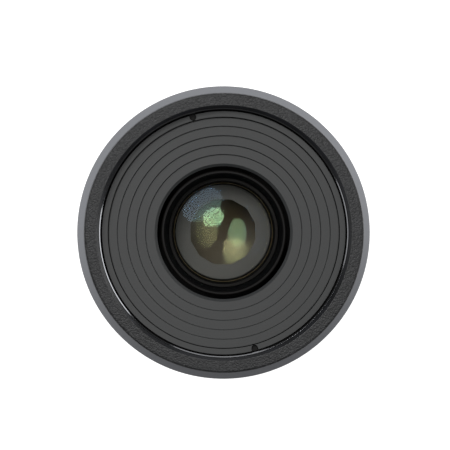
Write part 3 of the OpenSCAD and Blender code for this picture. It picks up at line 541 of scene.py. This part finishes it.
def capped(name: str, points: Grid, faces: Grid, normals: Grid, slots: Grid,
           finishes: Sequence[Material]) -> Object:
    """Closes a turned solid at its two poles with one vertex each.

    Args:
        name: Name of the piece.
        points: Grid of places, columns by rows, whose first and last rows lie on the axis.
        faces: Grid of quads.
        normals: Corner normals of those quads.
        slots: Finish number of each quad.
        finishes: Materials.

    Returns:
        The piece, with triangles round each pole.
    """
    cols, rows = points.shape[:2]
    index = np.arange(cols * rows).reshape(cols, rows)
    index[:, 0], index[:, -1] = index[0, 0], index[0, -1]
    used, flat = np.unique(index.reshape(-1)[faces.reshape(-1)], return_inverse=True)
    corner = flat.reshape(cols, rows - 1, 4)
    low, high = [0, 2, 3], [0, 1, 2]
    polygons = [*corner[:, 0][:, low].tolist(), *corner[:, 1:-1].reshape(-1, 4).tolist(),
                *corner[:, -1][:, high].tolist()]
    order = np.concatenate([slots[:, 0], slots[:, 1:-1].reshape(-1), slots[:, -1]])
    split = np.concatenate([part.reshape(-1, 3) for part in (
        normals[:, 0][:, low], normals[:, 1:-1], normals[:, -1][:, high])])
    return new_piece(name, points.reshape(-1, 3)[used], polygons, finishes, order, split)


def place(piece: Object, body: Body, slot: Slot, *nodes: str) -> None:
    """Lets a finished piece ride on its body and stand for CAD nodes.

    Args:
        piece: The piece.
        body: Body that carries it.
        slot: Material slot of the record; not used.
        nodes: CAD nodes that it replaces.
    """
    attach(piece, body.value)
    if nodes:
        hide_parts(*nodes)
    LOG.info("%s: %d faces on %s", piece.name, len(piece.data.polygons), body.value)


def dress(finish: Material, *nodes: str) -> None:
    """Gives CAD nodes that stay in view their finish."""
    for node in nodes:
        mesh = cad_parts[node].data
        mesh.materials.clear()
        mesh.materials.append(finish)
        LOG.info("%s: dressed in %s", node, finish.name)


def made(surface: Surface) -> Any:
    """Field of a dataclass that holds a finish's material, made with the dataclass."""
    return field(default_factory=surface.make)


@dataclass(frozen=True)
class Finishes:
    """Every finish of the lens, made once and shared by its pieces."""

    # Turned and dyed black: fine rings glint under a thin sheen.
    black: Material = made(Anodised(
        "black anodised aluminium", "#0d0e0f", "#15161a", (0.36, 0.46), turn_mm=0.5,
        turn_depth=0.12, grain_depth=0.06))
    # Baked wrinkle paint: a grainy, almost black face.
    wrinkle: Material = made(WrinkleCoat())
    # Blasted with beads before dyeing: an even, soft dark grey.
    satin: Material = made(Anodised(
        "bead blasted black anodising", "#282929", "#2e2f2f", (0.55, 0.66), grain_mm=0.45,
        grain_depth=0.16, specular=0.42))
    # Burnished before dyeing: it mirrors the soft boxes as thin crescents.
    polished: Material = made(Anodised(
        "polished black anodising", "#707174", "#78797c", (0.1, 0.14), metallic=1.0,
        grain_depth=0.02, coat=0.3))
    # Etched black round the glass: it swallows nearly all light.
    matt: Material = made(Anodised(
        "matt black anodising", "#050505", "#090808", (0.7, 0.8), grain_depth=0.1, specular=0.05))
    # A finer etch on the cell's nose: a deep brownish black with faint rings of light.
    # On the baffle's notch floors the same finish is painted shade.
    nose: Material = made(Anodised(
        "black anodised nose", "#090807", "#0d0b0a", (0.5, 0.6), grain_depth=0.05, specular=0.12))
    # Dye rubbed off a lip by handling: a thin dull golden line.
    worn: Material = made(Anodised(
        "worn retainer lip", "#5c4c2c", "#6c5a38", (0.4, 0.5), metallic=0.6, grain_depth=0.05))
    # Hard anodising of sliding parts: a flatter charcoal.
    hard: Material = made(Anodised(
        "hard anodised aluminium", "#26272a", "#2e2f32", (0.4, 0.5), turn_mm=0.45,
        turn_depth=0.12))
    # Grey dye over turned metal: a cool metallic band, brighter where it faces a lamp.
    grey: Material = made(Anodised(
        "grey anodised aluminium", "#585a5f", "#5e6065", (0.34, 0.42), metallic=0.85,
        grain_mm=0.3, grain_depth=0.05, turn_mm=0.4, turn_depth=0.05))
    # Hobbed teeth, dyed black: their edges catch a line of light each.
    gear: Material = made(Anodised(
        "hobbed black anodising", "#111214", "#191a1d", (0.34, 0.44), grain_depth=0.05))
    # Bare turned steel: bright, with a brushed look round the mount.
    steel: Material = made(BareMetal("turned stainless steel", "#a9aaac", "#b9babb"))
    # Chemically blackened steel: dark metal that still glints.
    screw: Material = made(BareMetal("blackened screw steel", "#3a3a3b", "#4b4b4c", (0.3, 0.4)))
    # Bare turned brass: a warm yellow edge.
    brass: Material = made(BareMetal("turned brass", "#b08f4c", "#c1a05c"))
    # Spring steel under a dry film: an even mid grey without glints.
    blade: Material = made(Anodised(
        "coated spring steel", "#383839", "#3f3f40", (0.5, 0.6), metallic=0.1, grain_mm=0.6,
        grain_depth=0.03))
    # Enamel of the scales: an off-white and an amber, both matt.
    white: Material = made(EnamelFill("white enamel fill", "#e8e8e4", "#cfcfca"))
    amber: Material = made(EnamelFill("amber enamel fill", "#d8a23c", "#c08f34"))


@dataclass(frozen=True)
class FrontGroup:
    """Front ring with its filter thread, and the stepped baffle inside it."""

    edge_r: float = 47.5
    edge_fillet: float = 0.9
    web_r: float = 45.8
    web_in_r: float = 36.5
    web_z: float = 72.0
    step_z: float = 73.0
    face_z: float = 83.0
    mouth_bevel: float = 0.9
    thread_r: float = 42.5
    thread_depth: float = 0.5
    thread_pitch: float = 1.0
    thread_low_z: float = 77.1
    thread_top_z: float = 82.1
    thread_rows: int = 8
    relief_r: float = 42.9
    relief_z: float = 76.7
    seat_r: float = 41.75
    ledge: float = 0.75
    ledge_z: float = 76.8
    ledge_drop: float = 0.63
    ledge_knee: Range = (0.45, 0.55)
    seat_z: float = 74.0
    play: float = 0.05
    rim_bevel: float = 0.2
    hole_r: float = 22.8
    hole_bevel: float = 0.9
    lands: int = 6
    land_w: float = 3.2
    drop: float = 0.9
    riser_w: float = 0.24
    plate_t: float = 1.4
    notch_r: float = 1.1
    notch_pcr: float = 40.8
    notch_depth: float = 1.5
    notch_angle: float = 105.0
    notch_wall: float = 0.08
    notch_span: float = 2.4
    notch_grid: tuple[int, int] = (65, 24)
    notch_margins: Range = (0.3, 0.4)
    notch_shade_band: Range = (0.25, 0.1)
    web_step: float = 0.4

    def ring(self, fin: Finishes) -> Object:
        """Front ring: coated outside, bare black anodising inside, with a real thread."""
        rows = int((self.thread_top_z - self.thread_low_z) / self.thread_pitch * self.thread_rows)
        thread = [(self.thread_r, float(z), 0.0, 1) for z in
                  np.linspace(self.thread_top_z, self.thread_low_z, rows + 1)]
        knee_r, knee_z = self.ledge_knee
        section = [
            (self.web_in_r, self.web_z, 0.1, 1),
            (self.web_r, self.web_z, 0.2, 1),
            (self.web_r, self.step_z, 0.0, 0),
            (self.edge_r, self.step_z, 0.25, 0),
            (self.edge_r, self.face_z, self.edge_fillet, 0),
            (self.thread_r + self.mouth_bevel, self.face_z, 0.12, 1),
            *thread,
            (self.relief_r, (self.thread_low_z + self.relief_z) / 2, 0.05, 1),
            (self.seat_r + self.ledge, self.ledge_z, 0.05, 2),
            (self.seat_r + knee_r * self.ledge, self.ledge_z - knee_z * self.ledge_drop, 0.0, 3),
            (self.seat_r, self.ledge_z - self.ledge_drop, 0.05, 3),
            (self.seat_r, self.seat_z, 0.0, 1),
            (self.web_in_r, self.seat_z, 0.1, 1),
        ]
        finishes = (fin.wrinkle, fin.black, fin.polished, fin.matt)
        return turned("front_ring_shell", section, finishes, displace=self.cut_thread)

    def cut_thread(self, angle: Grid, r: Grid, z: Grid) -> tuple[Grid, Grid]:
        """Cuts the helix: the wall sinks by a triangle wave of z / pitch + angle / turn.

        Args:
            angle: Angles of the grid.
            r: Radii of the grid.
            z: Heights of the grid.

        Returns:
            New radii and heights.
        """
        end = 0.01
        between_ends = (z > self.thread_low_z + end) & (z < self.thread_top_z - end)
        phase = (z / self.thread_pitch + angle / FULL_TURN) % 1.0
        depth = self.thread_depth * (1 - np.abs(2 * phase - 1))
        return np.where(np.isclose(r, self.thread_r) & between_ends, r + depth, r), z

    def baffle(self, fin: Finishes) -> Object:
        """Stepped baffle with its two spanner notches, which need a finer grid round them."""
        rim_r, top = self.seat_r - self.play, self.relief_z
        land_in_r = self.hole_r + self.hole_bevel
        first = land_in_r + self.land_w * (self.lands - 1) - 0.5 * self.riser_w
        steps = [(first - i * self.land_w + side * self.riser_w / 2,
                  top - (i + (side < 0)) * self.drop, 0.08, 0)
                 for i in range(self.lands - 1) for side in (1, -1)]
        low = top - self.drop * (self.lands - 1)
        columns, rows = self.notch_grid
        fine = [(float(r), top, 0.0, 0) for r in
                np.linspace(rim_r - self.notch_margins[0],
                            self.notch_pcr - self.notch_r - self.notch_margins[1], rows)]
        section = [
            (self.web_in_r - self.play, self.seat_z, 0.1, 0),
            (rim_r, self.seat_z, 0.05, 0),
            (rim_r, top - self.rim_bevel, 0.0, 1),
            (rim_r - self.rim_bevel, top, 0.0, 0),
            *fine,
            *steps,
            (land_in_r, low, 0.1, 0),
            (self.hole_r, low - self.hole_bevel, 0.06, 0),
            (self.hole_r, low - self.plate_t, 0.06, 0),
            (self.web_in_r - self.play, self.seat_z - self.web_step, 0.1, 0),
        ]
        near = np.radians(np.concatenate([
            self.notch_angle + half + np.linspace(-self.notch_span, self.notch_span, columns)
            for half in (0, 180)]))
        even = np.linspace(0, FULL_TURN, COLUMNS, endpoint=False)
        piece = turned("stepped_baffle", section, (fin.satin, fin.matt, fin.nose),
                       angles=np.unique(np.concatenate([even, near % FULL_TURN])),
                       displace=self.cut_notches)
        self.paint_notch_shade(piece)
        return piece

    def cut_notches(self, angle: Grid, r: Grid, z: Grid) -> tuple[Grid, Grid]:
        """Sinks the top inside two slots that run out through the rim.

        The distance to a slot's middle line is hypot(inwards beyond its round end, across).
        """
        turn = (angle - math.radians(self.notch_angle) + math.pi / 2) % math.pi - math.pi / 2
        inwards = np.maximum(self.notch_pcr - r * np.cos(turn), 0)
        away = np.hypot(inwards, r * np.sin(turn)) - self.notch_r
        inside = np.clip(-away / self.notch_wall, 0, 1)
        floor = self.relief_z - self.notch_depth
        return r, np.where(z > floor, z + (floor - z) * inside, z)

    def paint_notch_shade(self, piece: Object) -> None:
        """Gives the faces on the notch floors the third finish, a darker black that paints their
        shade.
        """
        polygons = piece.data.polygons
        centres = np.empty(len(polygons) * 3)
        slots = np.empty(len(polygons), dtype=np.int32)
        polygons.foreach_get("center", centres)
        polygons.foreach_get("material_index", slots)
        x, y, z = centres.reshape(-1, 3).T / MM
        outside = np.hypot(x, y) > self.notch_pcr - self.notch_r
        floor = self.relief_z - self.notch_depth
        below, above = self.notch_shade_band
        # Painted shade: faces low in the notches take the darker finish.
        slots[outside & (z < self.relief_z - below) & (z > floor - above)] = 2
        polygons.foreach_set("material_index", slots)

    def build(self, fin: Finishes) -> None:
        """Builds and places the group."""
        place(self.ring(fin), Body.HOUSING, Slot.WRINKLE, "front_ring")
        place(self.baffle(fin), Body.HOUSING, Slot.SATIN, "front_baffle")


@dataclass(frozen=True)
class Engraving:
    """Numbers and lines that lie on a turned band and ride with it.

    Text runs along x, which becomes the way round, and its height y becomes z. A point goes to
    radius + lift, angle + x / radius and z + y.
    """

    band_r: float
    body: Body
    slot: Slot
    enamel: Material
    size: float = 2.5
    lift: float = 0.02
    sink: float = 0.04

    def number(self, name: str, text: str, angle: float, z: float) -> None:
        """Writes a number and wraps it round the band.

        Args:
            name: Name of the piece.
            text: The number.
            angle: Angle of its middle in degrees.
            z: Height of its base line.
        """
        curve = bpy.data.curves.new(name, "FONT")
        curve.body = text
        curve.size = self.size
        curve.align_x = "CENTER"
        curve.extrude = self.lift
        curve.resolution_u = 3
        flat = link(name, curve)
        graph = bpy.context.evaluated_depsgraph_get()
        mesh = bpy.data.meshes.new_from_object(flat.evaluated_get(graph))
        bpy.data.objects.remove(flat)
        co = np.empty(len(mesh.vertices) * 3)
        mesh.vertices.foreach_get("co", co)
        co = co.reshape(-1, 3)
        turn = math.radians(angle) + co[:, 0] / self.band_r
        r = self.band_r + self.lift + co[:, 2]
        wrapped = np.stack([r * np.cos(turn), r * np.sin(turn), z + co[:, 1]], axis=-1) * MM
        mesh.vertices.foreach_set("co", wrapped.reshape(-1))
        mesh.materials.clear()
        mesh.materials.append(self.enamel)
        mesh.update()
        place(link(name, mesh), self.body, self.slot)

    def ticks(self, name: str, angles: Sequence[float], ends: Range, width: float) -> None:
        """Draws a row of lines along the axis, each a box of six faces.

        Args:
            name: Name of the piece that holds them all.
            angles: Angle of each line in degrees.
            ends: Lower and upper end.
            width: Width round the band.
        """
        middle = np.radians(np.asarray(angles, float))[:, None, None, None]
        side = np.array([-0.5, 0.5])[None, :, None, None] * width / self.band_r
        r = self.band_r + self.lift + np.array([-self.sink, self.lift])[None, None, :, None]
        z = np.array(ends, float)[None, None, None, :]
        turn, r, z = np.broadcast_arrays(middle + side, r, z)
        verts = np.stack([r * np.cos(turn), r * np.sin(turn), z], axis=-1).reshape(-1, 3)
        box = np.array([[0, 1, 3, 2], [4, 6, 7, 5], [0, 4, 5, 1], [2, 3, 7, 6], [0, 2, 6, 4],
                        [1, 5, 7, 3]])
        faces = (np.arange(len(angles))[:, None, None] * 8 + box[None]).reshape(-1, 4)
        piece = new_piece(name, verts, faces.tolist(), (self.enamel,))
        place(piece, self.body, self.slot)


@dataclass(frozen=True)
class FocusGroup:
    """Focus ring with its scale in metres."""

    gear_seat_r: float = 46.0
    inner_r: float = 45.0
    band_r: float = 50.4
    bevel_low_r: float = 48.9
    low_z: float = 38.3
    lip_z: float = 44.0
    gear_top_z: float = 51.0
    band_low_z: float = 52.5
    band_top_z: float = 67.5
    nose_r: float = 47.9
    nose_z: float = 72.6
    shell_r: float = 46.5
    hub_r: float = 43.5
    lip_r: float = 41.5
    lip_t: float = 2.0
    hub_len: float = 6.0
    taper: float = 1.5
    turn: float = 300.0
    travel: float = 8.0
    focal: float = 50.0
    index_angle: float = 270.0
    number_size: float = 3.4
    number_z: float = 57.2
    far_size: float = 5.4
    far_z: float = 56.6
    far_turn: float = 3.6
    distances: tuple[float, ...] = (0.5, 0.6, 0.8, 1.0, 1.5, 2.0, 3.0, 5.0)
    fine_distances: tuple[float, ...] = (0.45, 0.55, 0.7, 0.9, 1.2, 1.7, 2.5, 4.0, 7.0, 10.0)
    mark_ends: Range = (52.9, 56.0)
    fine_ends: Range = (52.9, 54.4)
    mark_w: float = 0.3
    fine_w: float = 0.2

    def ring(self, fin: Finishes) -> Object:
        """Focus ring: gear seat, scale band and front bevel over an inner lip."""
        hub_z = self.lip_z + self.lip_t
        section = [
            (self.inner_r, self.low_z, 0.1),
            (self.gear_seat_r, self.low_z, 0.1),
            (self.gear_seat_r, self.gear_top_z, 0.0),
            (self.bevel_low_r, self.gear_top_z, 0.15),
            (self.band_r, self.band_low_z, 0.3),
            (self.band_r, self.band_top_z, 0.6),
            (self.nose_r, self.nose_z, 0.25),
            (self.shell_r, self.nose_z, 0.15),
            (self.shell_r, hub_z + self.hub_len + self.taper, 0.2),
            (self.hub_r, hub_z + self.hub_len, 0.2),
            (self.hub_r, hub_z, 0.2),
            (self.lip_r, hub_z, 0.1),
            (self.lip_r, self.lip_z, 0.1),
            (self.inner_r, self.lip_z, 0.0),
        ]
        return turned("focus_ring_shell", section, (fin.grey,))

    def mark_angle(self, metres: float) -> float:
        """Angle on the ring of the mark for a distance.

        The cell moves by f * f / (s - f), and the ring turns by turn / travel for each
        millimetre of that.
        """
        extension = self.focal**2 / (metres * 1000 - self.focal)
        return self.index_angle - self.turn / self.travel * extension

    def scale(self, fin: Finishes) -> None:
        """Engraves the distance scale."""
        band = self.band_r, Body.FOCUS, Slot.GREY, fin.white
        engraving = Engraving(*band, self.number_size)
        for metres in self.distances:
            text = f"{metres:g}"
            engraving.number("focus_number_" + text.replace(".", "_"), text,
                             self.mark_angle(metres), self.number_z)
        lines = [self.mark_angle(metres) for metres in self.distances] + [self.index_angle]
        engraving.ticks("focus_marks", lines, self.mark_ends, self.mark_w)
        fine = [self.mark_angle(metres) for metres in self.fine_distances]
        engraving.ticks("focus_fine_marks", fine, self.fine_ends, self.fine_w)
        Engraving(*band, self.far_size).number("focus_number_far", "∞",
                                               self.index_angle + self.far_turn, self.far_z)

    def build(self, fin: Finishes) -> None:
        """Builds and places the group."""
        place(self.ring(fin), Body.FOCUS, Slot.GREY, "focus_ring")
        self.scale(fin)
        dress(fin.gear, "focus_gear")
        dress(fin.brass, "cam_sleeve")
        dress(fin.screw, "focus_ring_screws", "focus_stop_lug")


@dataclass(frozen=True)
class IrisGroup:
    """Iris ring with its scale, the cam ring and the twelve blades."""

    seat_r: float = 40.05
    core_r: float = 41.2
    band_r: float = 43.0
    low_z: float = 18.3
    band_z: float = 26.0
    top_z: float = 31.7
    index_angle: float = 270.0
    blades: int = 12
    pivot_r: float = 22.0
    edge_offset: float = 1.6
    open_r: float = 13.8
    rest_r: float = 11.4
    ratio: float = 1.75
    widest: float = 2.0
    stops: tuple[float, ...] = (2.0, 2.8, 4.0, 5.6, 8.0, 11.0)
    number_z: float = 27.2
    mark_ends: Range = (30.0, 31.2)
    mark_w: float = 0.3

    def scale(self, fin: Finishes) -> None:
        """Engraves the stop scale: a stop of t opens the blades to open_r * widest / t."""
        engraving = Engraving(self.band_r, Body.IRIS, Slot.BLACK, fin.white)
        angles = [self.index_angle - self.ring_angle(stop) for stop in self.stops]
        for stop, angle in zip(self.stops, angles):
            text = f"{stop:g}"
            engraving.number("stop_number_" + text.replace(".", "_"), text, angle, self.number_z)
        engraving.ticks("stop_marks", angles, self.mark_ends, self.mark_w)

    def blade_angle(self, aperture_r: float) -> float:
        """Angle between a blade's pivot and the normal of its edge, in degrees."""
        return math.degrees(math.acos((aperture_r + self.edge_offset) / self.pivot_r))

    def ring_angle(self, stop: float) -> float:
        """Turn of the iris ring from rest that brings a stop to the index, in degrees."""
        aperture_r = self.open_r * self.widest / stop
        return self.ratio * (self.blade_angle(aperture_r) - self.blade_angle(self.rest_r))

    def ring(self, fin: Finishes) -> Object:
        """Iris ring: the gear's seat and the scale band."""
        section = [
            (self.seat_r, self.low_z, 0.1),
            (self.core_r, self.low_z, 0.1),
            (self.core_r, self.band_z, 0.0),
            (self.band_r, self.band_z, 0.4),
            (self.band_r, self.top_z, 0.4),
            (self.seat_r, self.top_z, 0.1),
        ]
        return turned("iris_ring_shell", section, (fin.black,))

    def build(self, fin: Finishes) -> None:
        """Builds and places the group."""
        place(self.ring(fin), Body.IRIS, Slot.BLACK, "iris_ring")
        self.scale(fin)
        dress(fin.gear, "iris_gear")
        dress(fin.screw, "iris_drive_pin")
        dress(fin.brass, "iris_cam_ring")
        dress(fin.blade, *(f"iris_blade_{i:02d}" for i in range(1, self.blades + 1)))


@dataclass(frozen=True)
class RearGroup:
    """Rear barrel, index band, mount flange and rear baffle."""

    index_r: float = 44.5
    index_angle: float = 270.0
    line_ends: Range = (32.5, 37.5)
    line_w: float = 0.35
    spigot_bore_r: float = 24.5
    play: float = 0.05
    hole_r: float = 16.0
    baffle_z: float = -12.0
    baffle_t: float = 2.0

    def rear_baffle(self, fin: Finishes) -> Object:
        """Ring at the back of the spigot that stops stray light."""
        outer = self.spigot_bore_r - self.play
        section = [
            (self.hole_r, self.baffle_z, 0.1),
            (outer, self.baffle_z, 0.2),
            (outer, self.baffle_z + self.baffle_t, 0.2),
            (self.hole_r + self.baffle_t, self.baffle_z + self.baffle_t, 0.2),
        ]
        return turned("rear_light_baffle", section, (fin.matt,))

    def index_marks(self, fin: Finishes) -> None:
        """Engraves the index line of the fixed band and the two at its sides."""
        side = [self.index_angle - 90, self.index_angle + 90]
        for name, angles, enamel in (("index_line", [self.index_angle], fin.white),
                                     ("index_side_lines", side, fin.amber)):
            engraving = Engraving(self.index_r, Body.HOUSING, Slot.BLACK, enamel)
            engraving.ticks(name, angles, self.line_ends, self.line_w)

    def build(self, fin: Finishes) -> None:
        """Builds and places the group."""
        place(self.rear_baffle(fin), Body.HOUSING, Slot.MATT, "rear_baffle")
        self.index_marks(fin)
        dress(fin.black, "rear_barrel", "index_band")
        dress(fin.hard, "guide_barrel")
        dress(fin.steel, "mount_flange")
        dress(fin.brass, "mount_shim")
        dress(fin.screw, "mount_screws", "front_ring_screws", "barrel_screws", "focus_stop_pin")


@dataclass(frozen=True)
class Face:
    """Face of an element: part of a sphere, or flat where ball_r is zero.

    Its height is rim_z + sqrt(R^2 - r^2) - sqrt(R^2 - rim_r^2) where it bulges forwards. A face
    that bulges backwards has a negative ball_r and falls by as much.
    """

    ball_r: float
    rim_r: float
    rim_z: float

    def height(self, r: Any) -> Any:
        """Height of the face at a radius."""
        if not self.ball_r:
            return self.rim_z + 0 * r
        rise = np.sqrt(self.ball_r**2 - r**2) - math.sqrt(self.ball_r**2 - self.rim_r**2)
        return self.rim_z + math.copysign(1, self.ball_r) * rise

    def corners(self, finish: int) -> list[Corner]:
        """Corners of a half section from the face's rim to its pole, in one finish."""
        r = np.linspace(self.rim_r, 0, FACE_STEPS + 1 if self.ball_r else 2)
        return [(float(a), float(b), 0.0, finish) for a, b in zip(r, self.height(r))]


@dataclass(frozen=True)
class Element:
    """Lens element: two faces and a ground edge.

    The finish numbers are those of the front face, the back face and the flat ring between the
    back face and the edge. The edge itself has finish 2.
    """

    edge_r: float
    front: Face
    back: Face
    finishes: tuple[int, int, int] = (0, 1, 2)

    def section(self) -> list[Corner]:
        """Half section from the back pole over the edge to the front pole."""
        front, back, ring = self.finishes
        rim, *inner = self.back.corners(back)
        corners = [*inner[::-1], (*rim[:3], ring)]
        corners += [(self.edge_r, face.rim_z, 0.0, 2) for face in (self.back, self.front)
                    if face.rim_r < self.edge_r]
        return corners + self.front.corners(front)


ELEMENTS = {
    "lens_1": Element(19.95, Face(45.0, 19.95, 63.5), Face(90.0, 18.9, 61.0)),
    "lens_2": Element(17.95, Face(34.0, 17.95, 55.0), Face(0.0, 17.95, 53.0)),
    "lens_3": Element(17.95, Face(0.0, 17.95, 53.0 - CEMENT), Face(45.0, 15.0, 48.5), (1, 1, 1)),
    "lens_4": Element(17.0, Face(-50.0, 14.5, 38.3), Face(0.0, 17.0, 35.0 + CEMENT)),
    "lens_5": Element(17.0, Face(0.0, 17.0, 35.0), Face(-40.0, 17.0, 33.0)),
    "lens_6": Element(18.0, Face(90.0, 18.0, 24.0), Face(-55.0, 18.0, 20.0)),
}


@dataclass(frozen=True)
class OpticalCell:
    """Front and rear cell with their retainers and six elements."""

    nose_z: float = 70.0
    recess: float = 0.4
    play: float = 0.05
    thread_r: float = 20.6
    retainer_r: float = 19.1
    retainer_mouth_r: float = 20.2
    inner_r: float = 17.0
    inner_mouth_r: float = 17.6
    inner_gap: float = 0.1
    lip_w: float = 0.25
    lip_rise: float = 1.6

    def retainers(self, fin: Finishes) -> None:
        """Builds the two threaded rings in front of the glass."""
        one, two = ELEMENTS["lens_1"], ELEMENTS["lens_2"]
        low = float(one.front.height(self.retainer_r)) + self.play
        outer, top = self.thread_r - self.play, self.nose_z - self.recess
        section = [
            (self.retainer_r, low, 0.05),
            (outer, low, 0.1),
            (outer, top, 0.12),
            (self.retainer_mouth_r, top, 0.08),
            (self.retainer_r, low + self.recess, 0.1),
        ]
        place(turned("front_retainer_ring", section, (fin.matt,)), Body.CELL, Slot.MATT,
              "front_retainer")
        low = float(two.front.height(self.inner_r)) + self.play
        top = one.back.rim_z - self.inner_gap
        section = [
            (self.inner_r, low, 0.0),
            (two.edge_r, low, 0.05),
            (two.edge_r, top, 0.1),
            (self.inner_mouth_r, top, 0.1),
            (self.inner_r + self.lip_w, low + self.lip_rise, 0.0, 1),
        ]
        place(turned("inner_retainer_ring", section, (fin.matt, fin.worn)), Body.CELL, Slot.MATT,
              "inner_retainer")

    def coats(self) -> list[tuple[Material, Material]]:
        """Makes the coated glass of the front and back face of each element.

        The front element's coats throw green and blue back, those behind it yellow-green, and
        the cemented faces next to nothing.
        """
        cement = CoatedGlass("cemented face", "#c8d8c0", "#c8d8c0", 0.0005).make()
        return [
            (CoatedGlass("front element glass", "#c0f4b8", "#a8c4dc", 0.02).make(),
             CoatedGlass("front element back", "#6090c8", "#5080c0", 0.0012).make()),
            (CoatedGlass("second element glass", "#90e0b8", "#80d0c8", 0.003).make(), cement),
            (cement, CoatedGlass("third element glass", "#e0e0a0", "#a0d0c0", 0.0015).make()),
            (CoatedGlass("fourth element glass", "#f0f0b8", "#d0d890", 0.005, 0.03).make(), cement),
            (cement, CoatedGlass("fifth element glass", "#f8f0b8", "#e8e8b0", 0.011, 0.08).make()),
            (CoatedGlass("sixth element glass", "#f0e098", "#d8c070", 0.003, 0.08).make(),
             CoatedGlass("rear element glass", "#d8e8a0", "#d8c070", 0.004, 0.08).make()),
        ]

    def build(self, fin: Finishes) -> None:
        """Builds and places the cell."""
        self.retainers(fin)
        for (node, element), coats in zip(ELEMENTS.items(), self.coats()):
            piece = turned(node.replace("lens", "element"), element.section(),
                           (*coats, fin.matt), closed=False)
            place(piece, Body.CELL, Slot.GLASS, node)
        dress(fin.nose, "front_cell")
        dress(fin.black, "rear_cell")
        dress(fin.matt, "rear_retainer", "rear_spacer", "iris_pivot_plate")
        dress(fin.screw, "cell_screws", "cam_followers")


def turn_back_to(way: Vector) -> Matrix:
    """Turn of a camera or lamp whose back points along way, with +Y of the lens up."""
    back = way.normalized()
    right = Vector((0, 1, 0)).cross(back).normalized()
    return Matrix((right, back.cross(right), back)).transposed()


@dataclass(frozen=True)
class SoftBox:
    """Elliptical soft box that faces the front of the lens.

    azimuth turns round the optical axis from +X, elevation rises over the plane of the front
    face, and spin turns the box about its own direction, all in degrees. reach, width and height
    are in millimetres and power in watts.
    """

    name: str
    azimuth: float
    elevation: float
    reach: float
    width: float
    height: float
    power: float
    spin: float = 0.0

    def hang(self, target: Vector) -> None:
        """Hangs the lamp at its reach from a target."""
        a, e = math.radians(self.azimuth), math.radians(self.elevation)
        way = Vector((math.cos(e) * math.cos(a), math.cos(e) * math.sin(a), math.sin(e)))
        light = bpy.data.lights.new(self.name, "AREA")
        light.shape = "ELLIPSE"
        light.size, light.size_y = self.width * MM, self.height * MM
        light.energy = self.power
        lamp = link(self.name, light)
        lamp.location = target + way * self.reach * MM
        turn = turn_back_to(way) @ Matrix.Rotation(math.radians(self.spin), 3, "Z")
        lamp.rotation_euler = turn.to_euler()


LAMPS = (
    SoftBox("front_soft_box", 122, 73.4, 1100, 400, 330, 5.6, 35),
    SoftBox("side_soft_box", -3, 76.5, 1100, 330, 520, 3.0),
    SoftBox("key_soft_box", 127, 58, 1100, 760, 560, 4.4, 37),
    SoftBox("right_soft_box", 14, 12, 900, 560, 860, 3.9),
    SoftBox("left_soft_box", 185, 16, 1100, 500, 800, 1.2),
    SoftBox("top_soft_box", 88, 16, 1100, 900, 500, 1.2),
)


@dataclass(frozen=True)
class Studio:
    """White floor, soft boxes and the camera."""

    floor_z: float = -14.02
    face_z: float = 83.0
    floor_size: float = 6000.0
    aim: Range = (0.34, 2.71)
    stand: Range = (-10.0, 10.0)
    distance: float = 1000.0
    lens_mm: float = 236.0
    sensor_mm: float = 36.0
    felt: float = 0.1
    glass_faces: int = 40

    def floor(self) -> None:
        """White floor: plain white to the camera, with painted light and a painted contact shadow
        for the lens.
        """
        half = self.floor_size / 2
        verts = np.array([[x * half, y * half, self.floor_z]
                          for x, y in ((-1, -1), (1, -1), (1, 1), (-1, 1))])
        floor = new_piece("floor", verts, [[0, 1, 2, 3]], (PaperFloor().make(),))

    def camera(self) -> None:
        """Camera over the front of the lens, at the photograph's angle."""
        data = bpy.data.cameras.new("camera")
        data.lens = self.lens_mm
        data.sensor_width = self.sensor_mm
        data.clip_start, data.clip_end = 0.01, 50
        camera = link("camera", data)
        spot = Vector((*self.stand, self.face_z + self.distance)) * MM
        target = Vector((*self.aim, self.face_z)) * MM
        camera.location = spot
        camera.rotation_euler = turn_back_to(spot - target).to_euler()
        bpy.context.scene.camera = camera

    def world(self) -> None:
        """Bright surroundings for the camera, dimmer light for the lens.

        Light passes up to glass_faces faces in a row, because the twelve of the elements would
        stop it at the usual eight.
        """
        world = bpy.data.worlds.new("studio")
        world.use_nodes = True
        world.node_tree.nodes.clear()
        add = partial(add_node, world.node_tree)
        ray = add("LightPath").outputs["Is Camera Ray"]
        felt, seen = (add("Background", inputs={"Color": linear("#ffffff"), "Strength": strength})
                      for strength in (self.felt, 1.0))
        mix = add("MixShader", inputs={0: ray, 1: felt, 2: seen})
        add("OutputWorld", inputs={"Surface": mix})
        bpy.context.scene.world = world
        bpy.context.scene.view_settings.view_transform = "Standard"
        bpy.context.scene.cycles.transparent_max_bounces = self.glass_faces

    def build(self) -> None:
        """Sets the stage."""
        self.floor()
        self.world()
        for lamp in LAMPS:
            lamp.hang(Vector((0, 0, self.face_z * MM)))
        self.camera()


def main() -> None:
    """Builds the lens and its stage."""
    logging.basicConfig(level=logging.INFO, format="%(name)s %(message)s")
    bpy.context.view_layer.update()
    Studio().build()
    fin = Finishes()
    for group in (FrontGroup(), FocusGroup(), IrisGroup(), RearGroup(), OpticalCell()):
        group.build(fin)


if __name__ == "__main__":
    main()
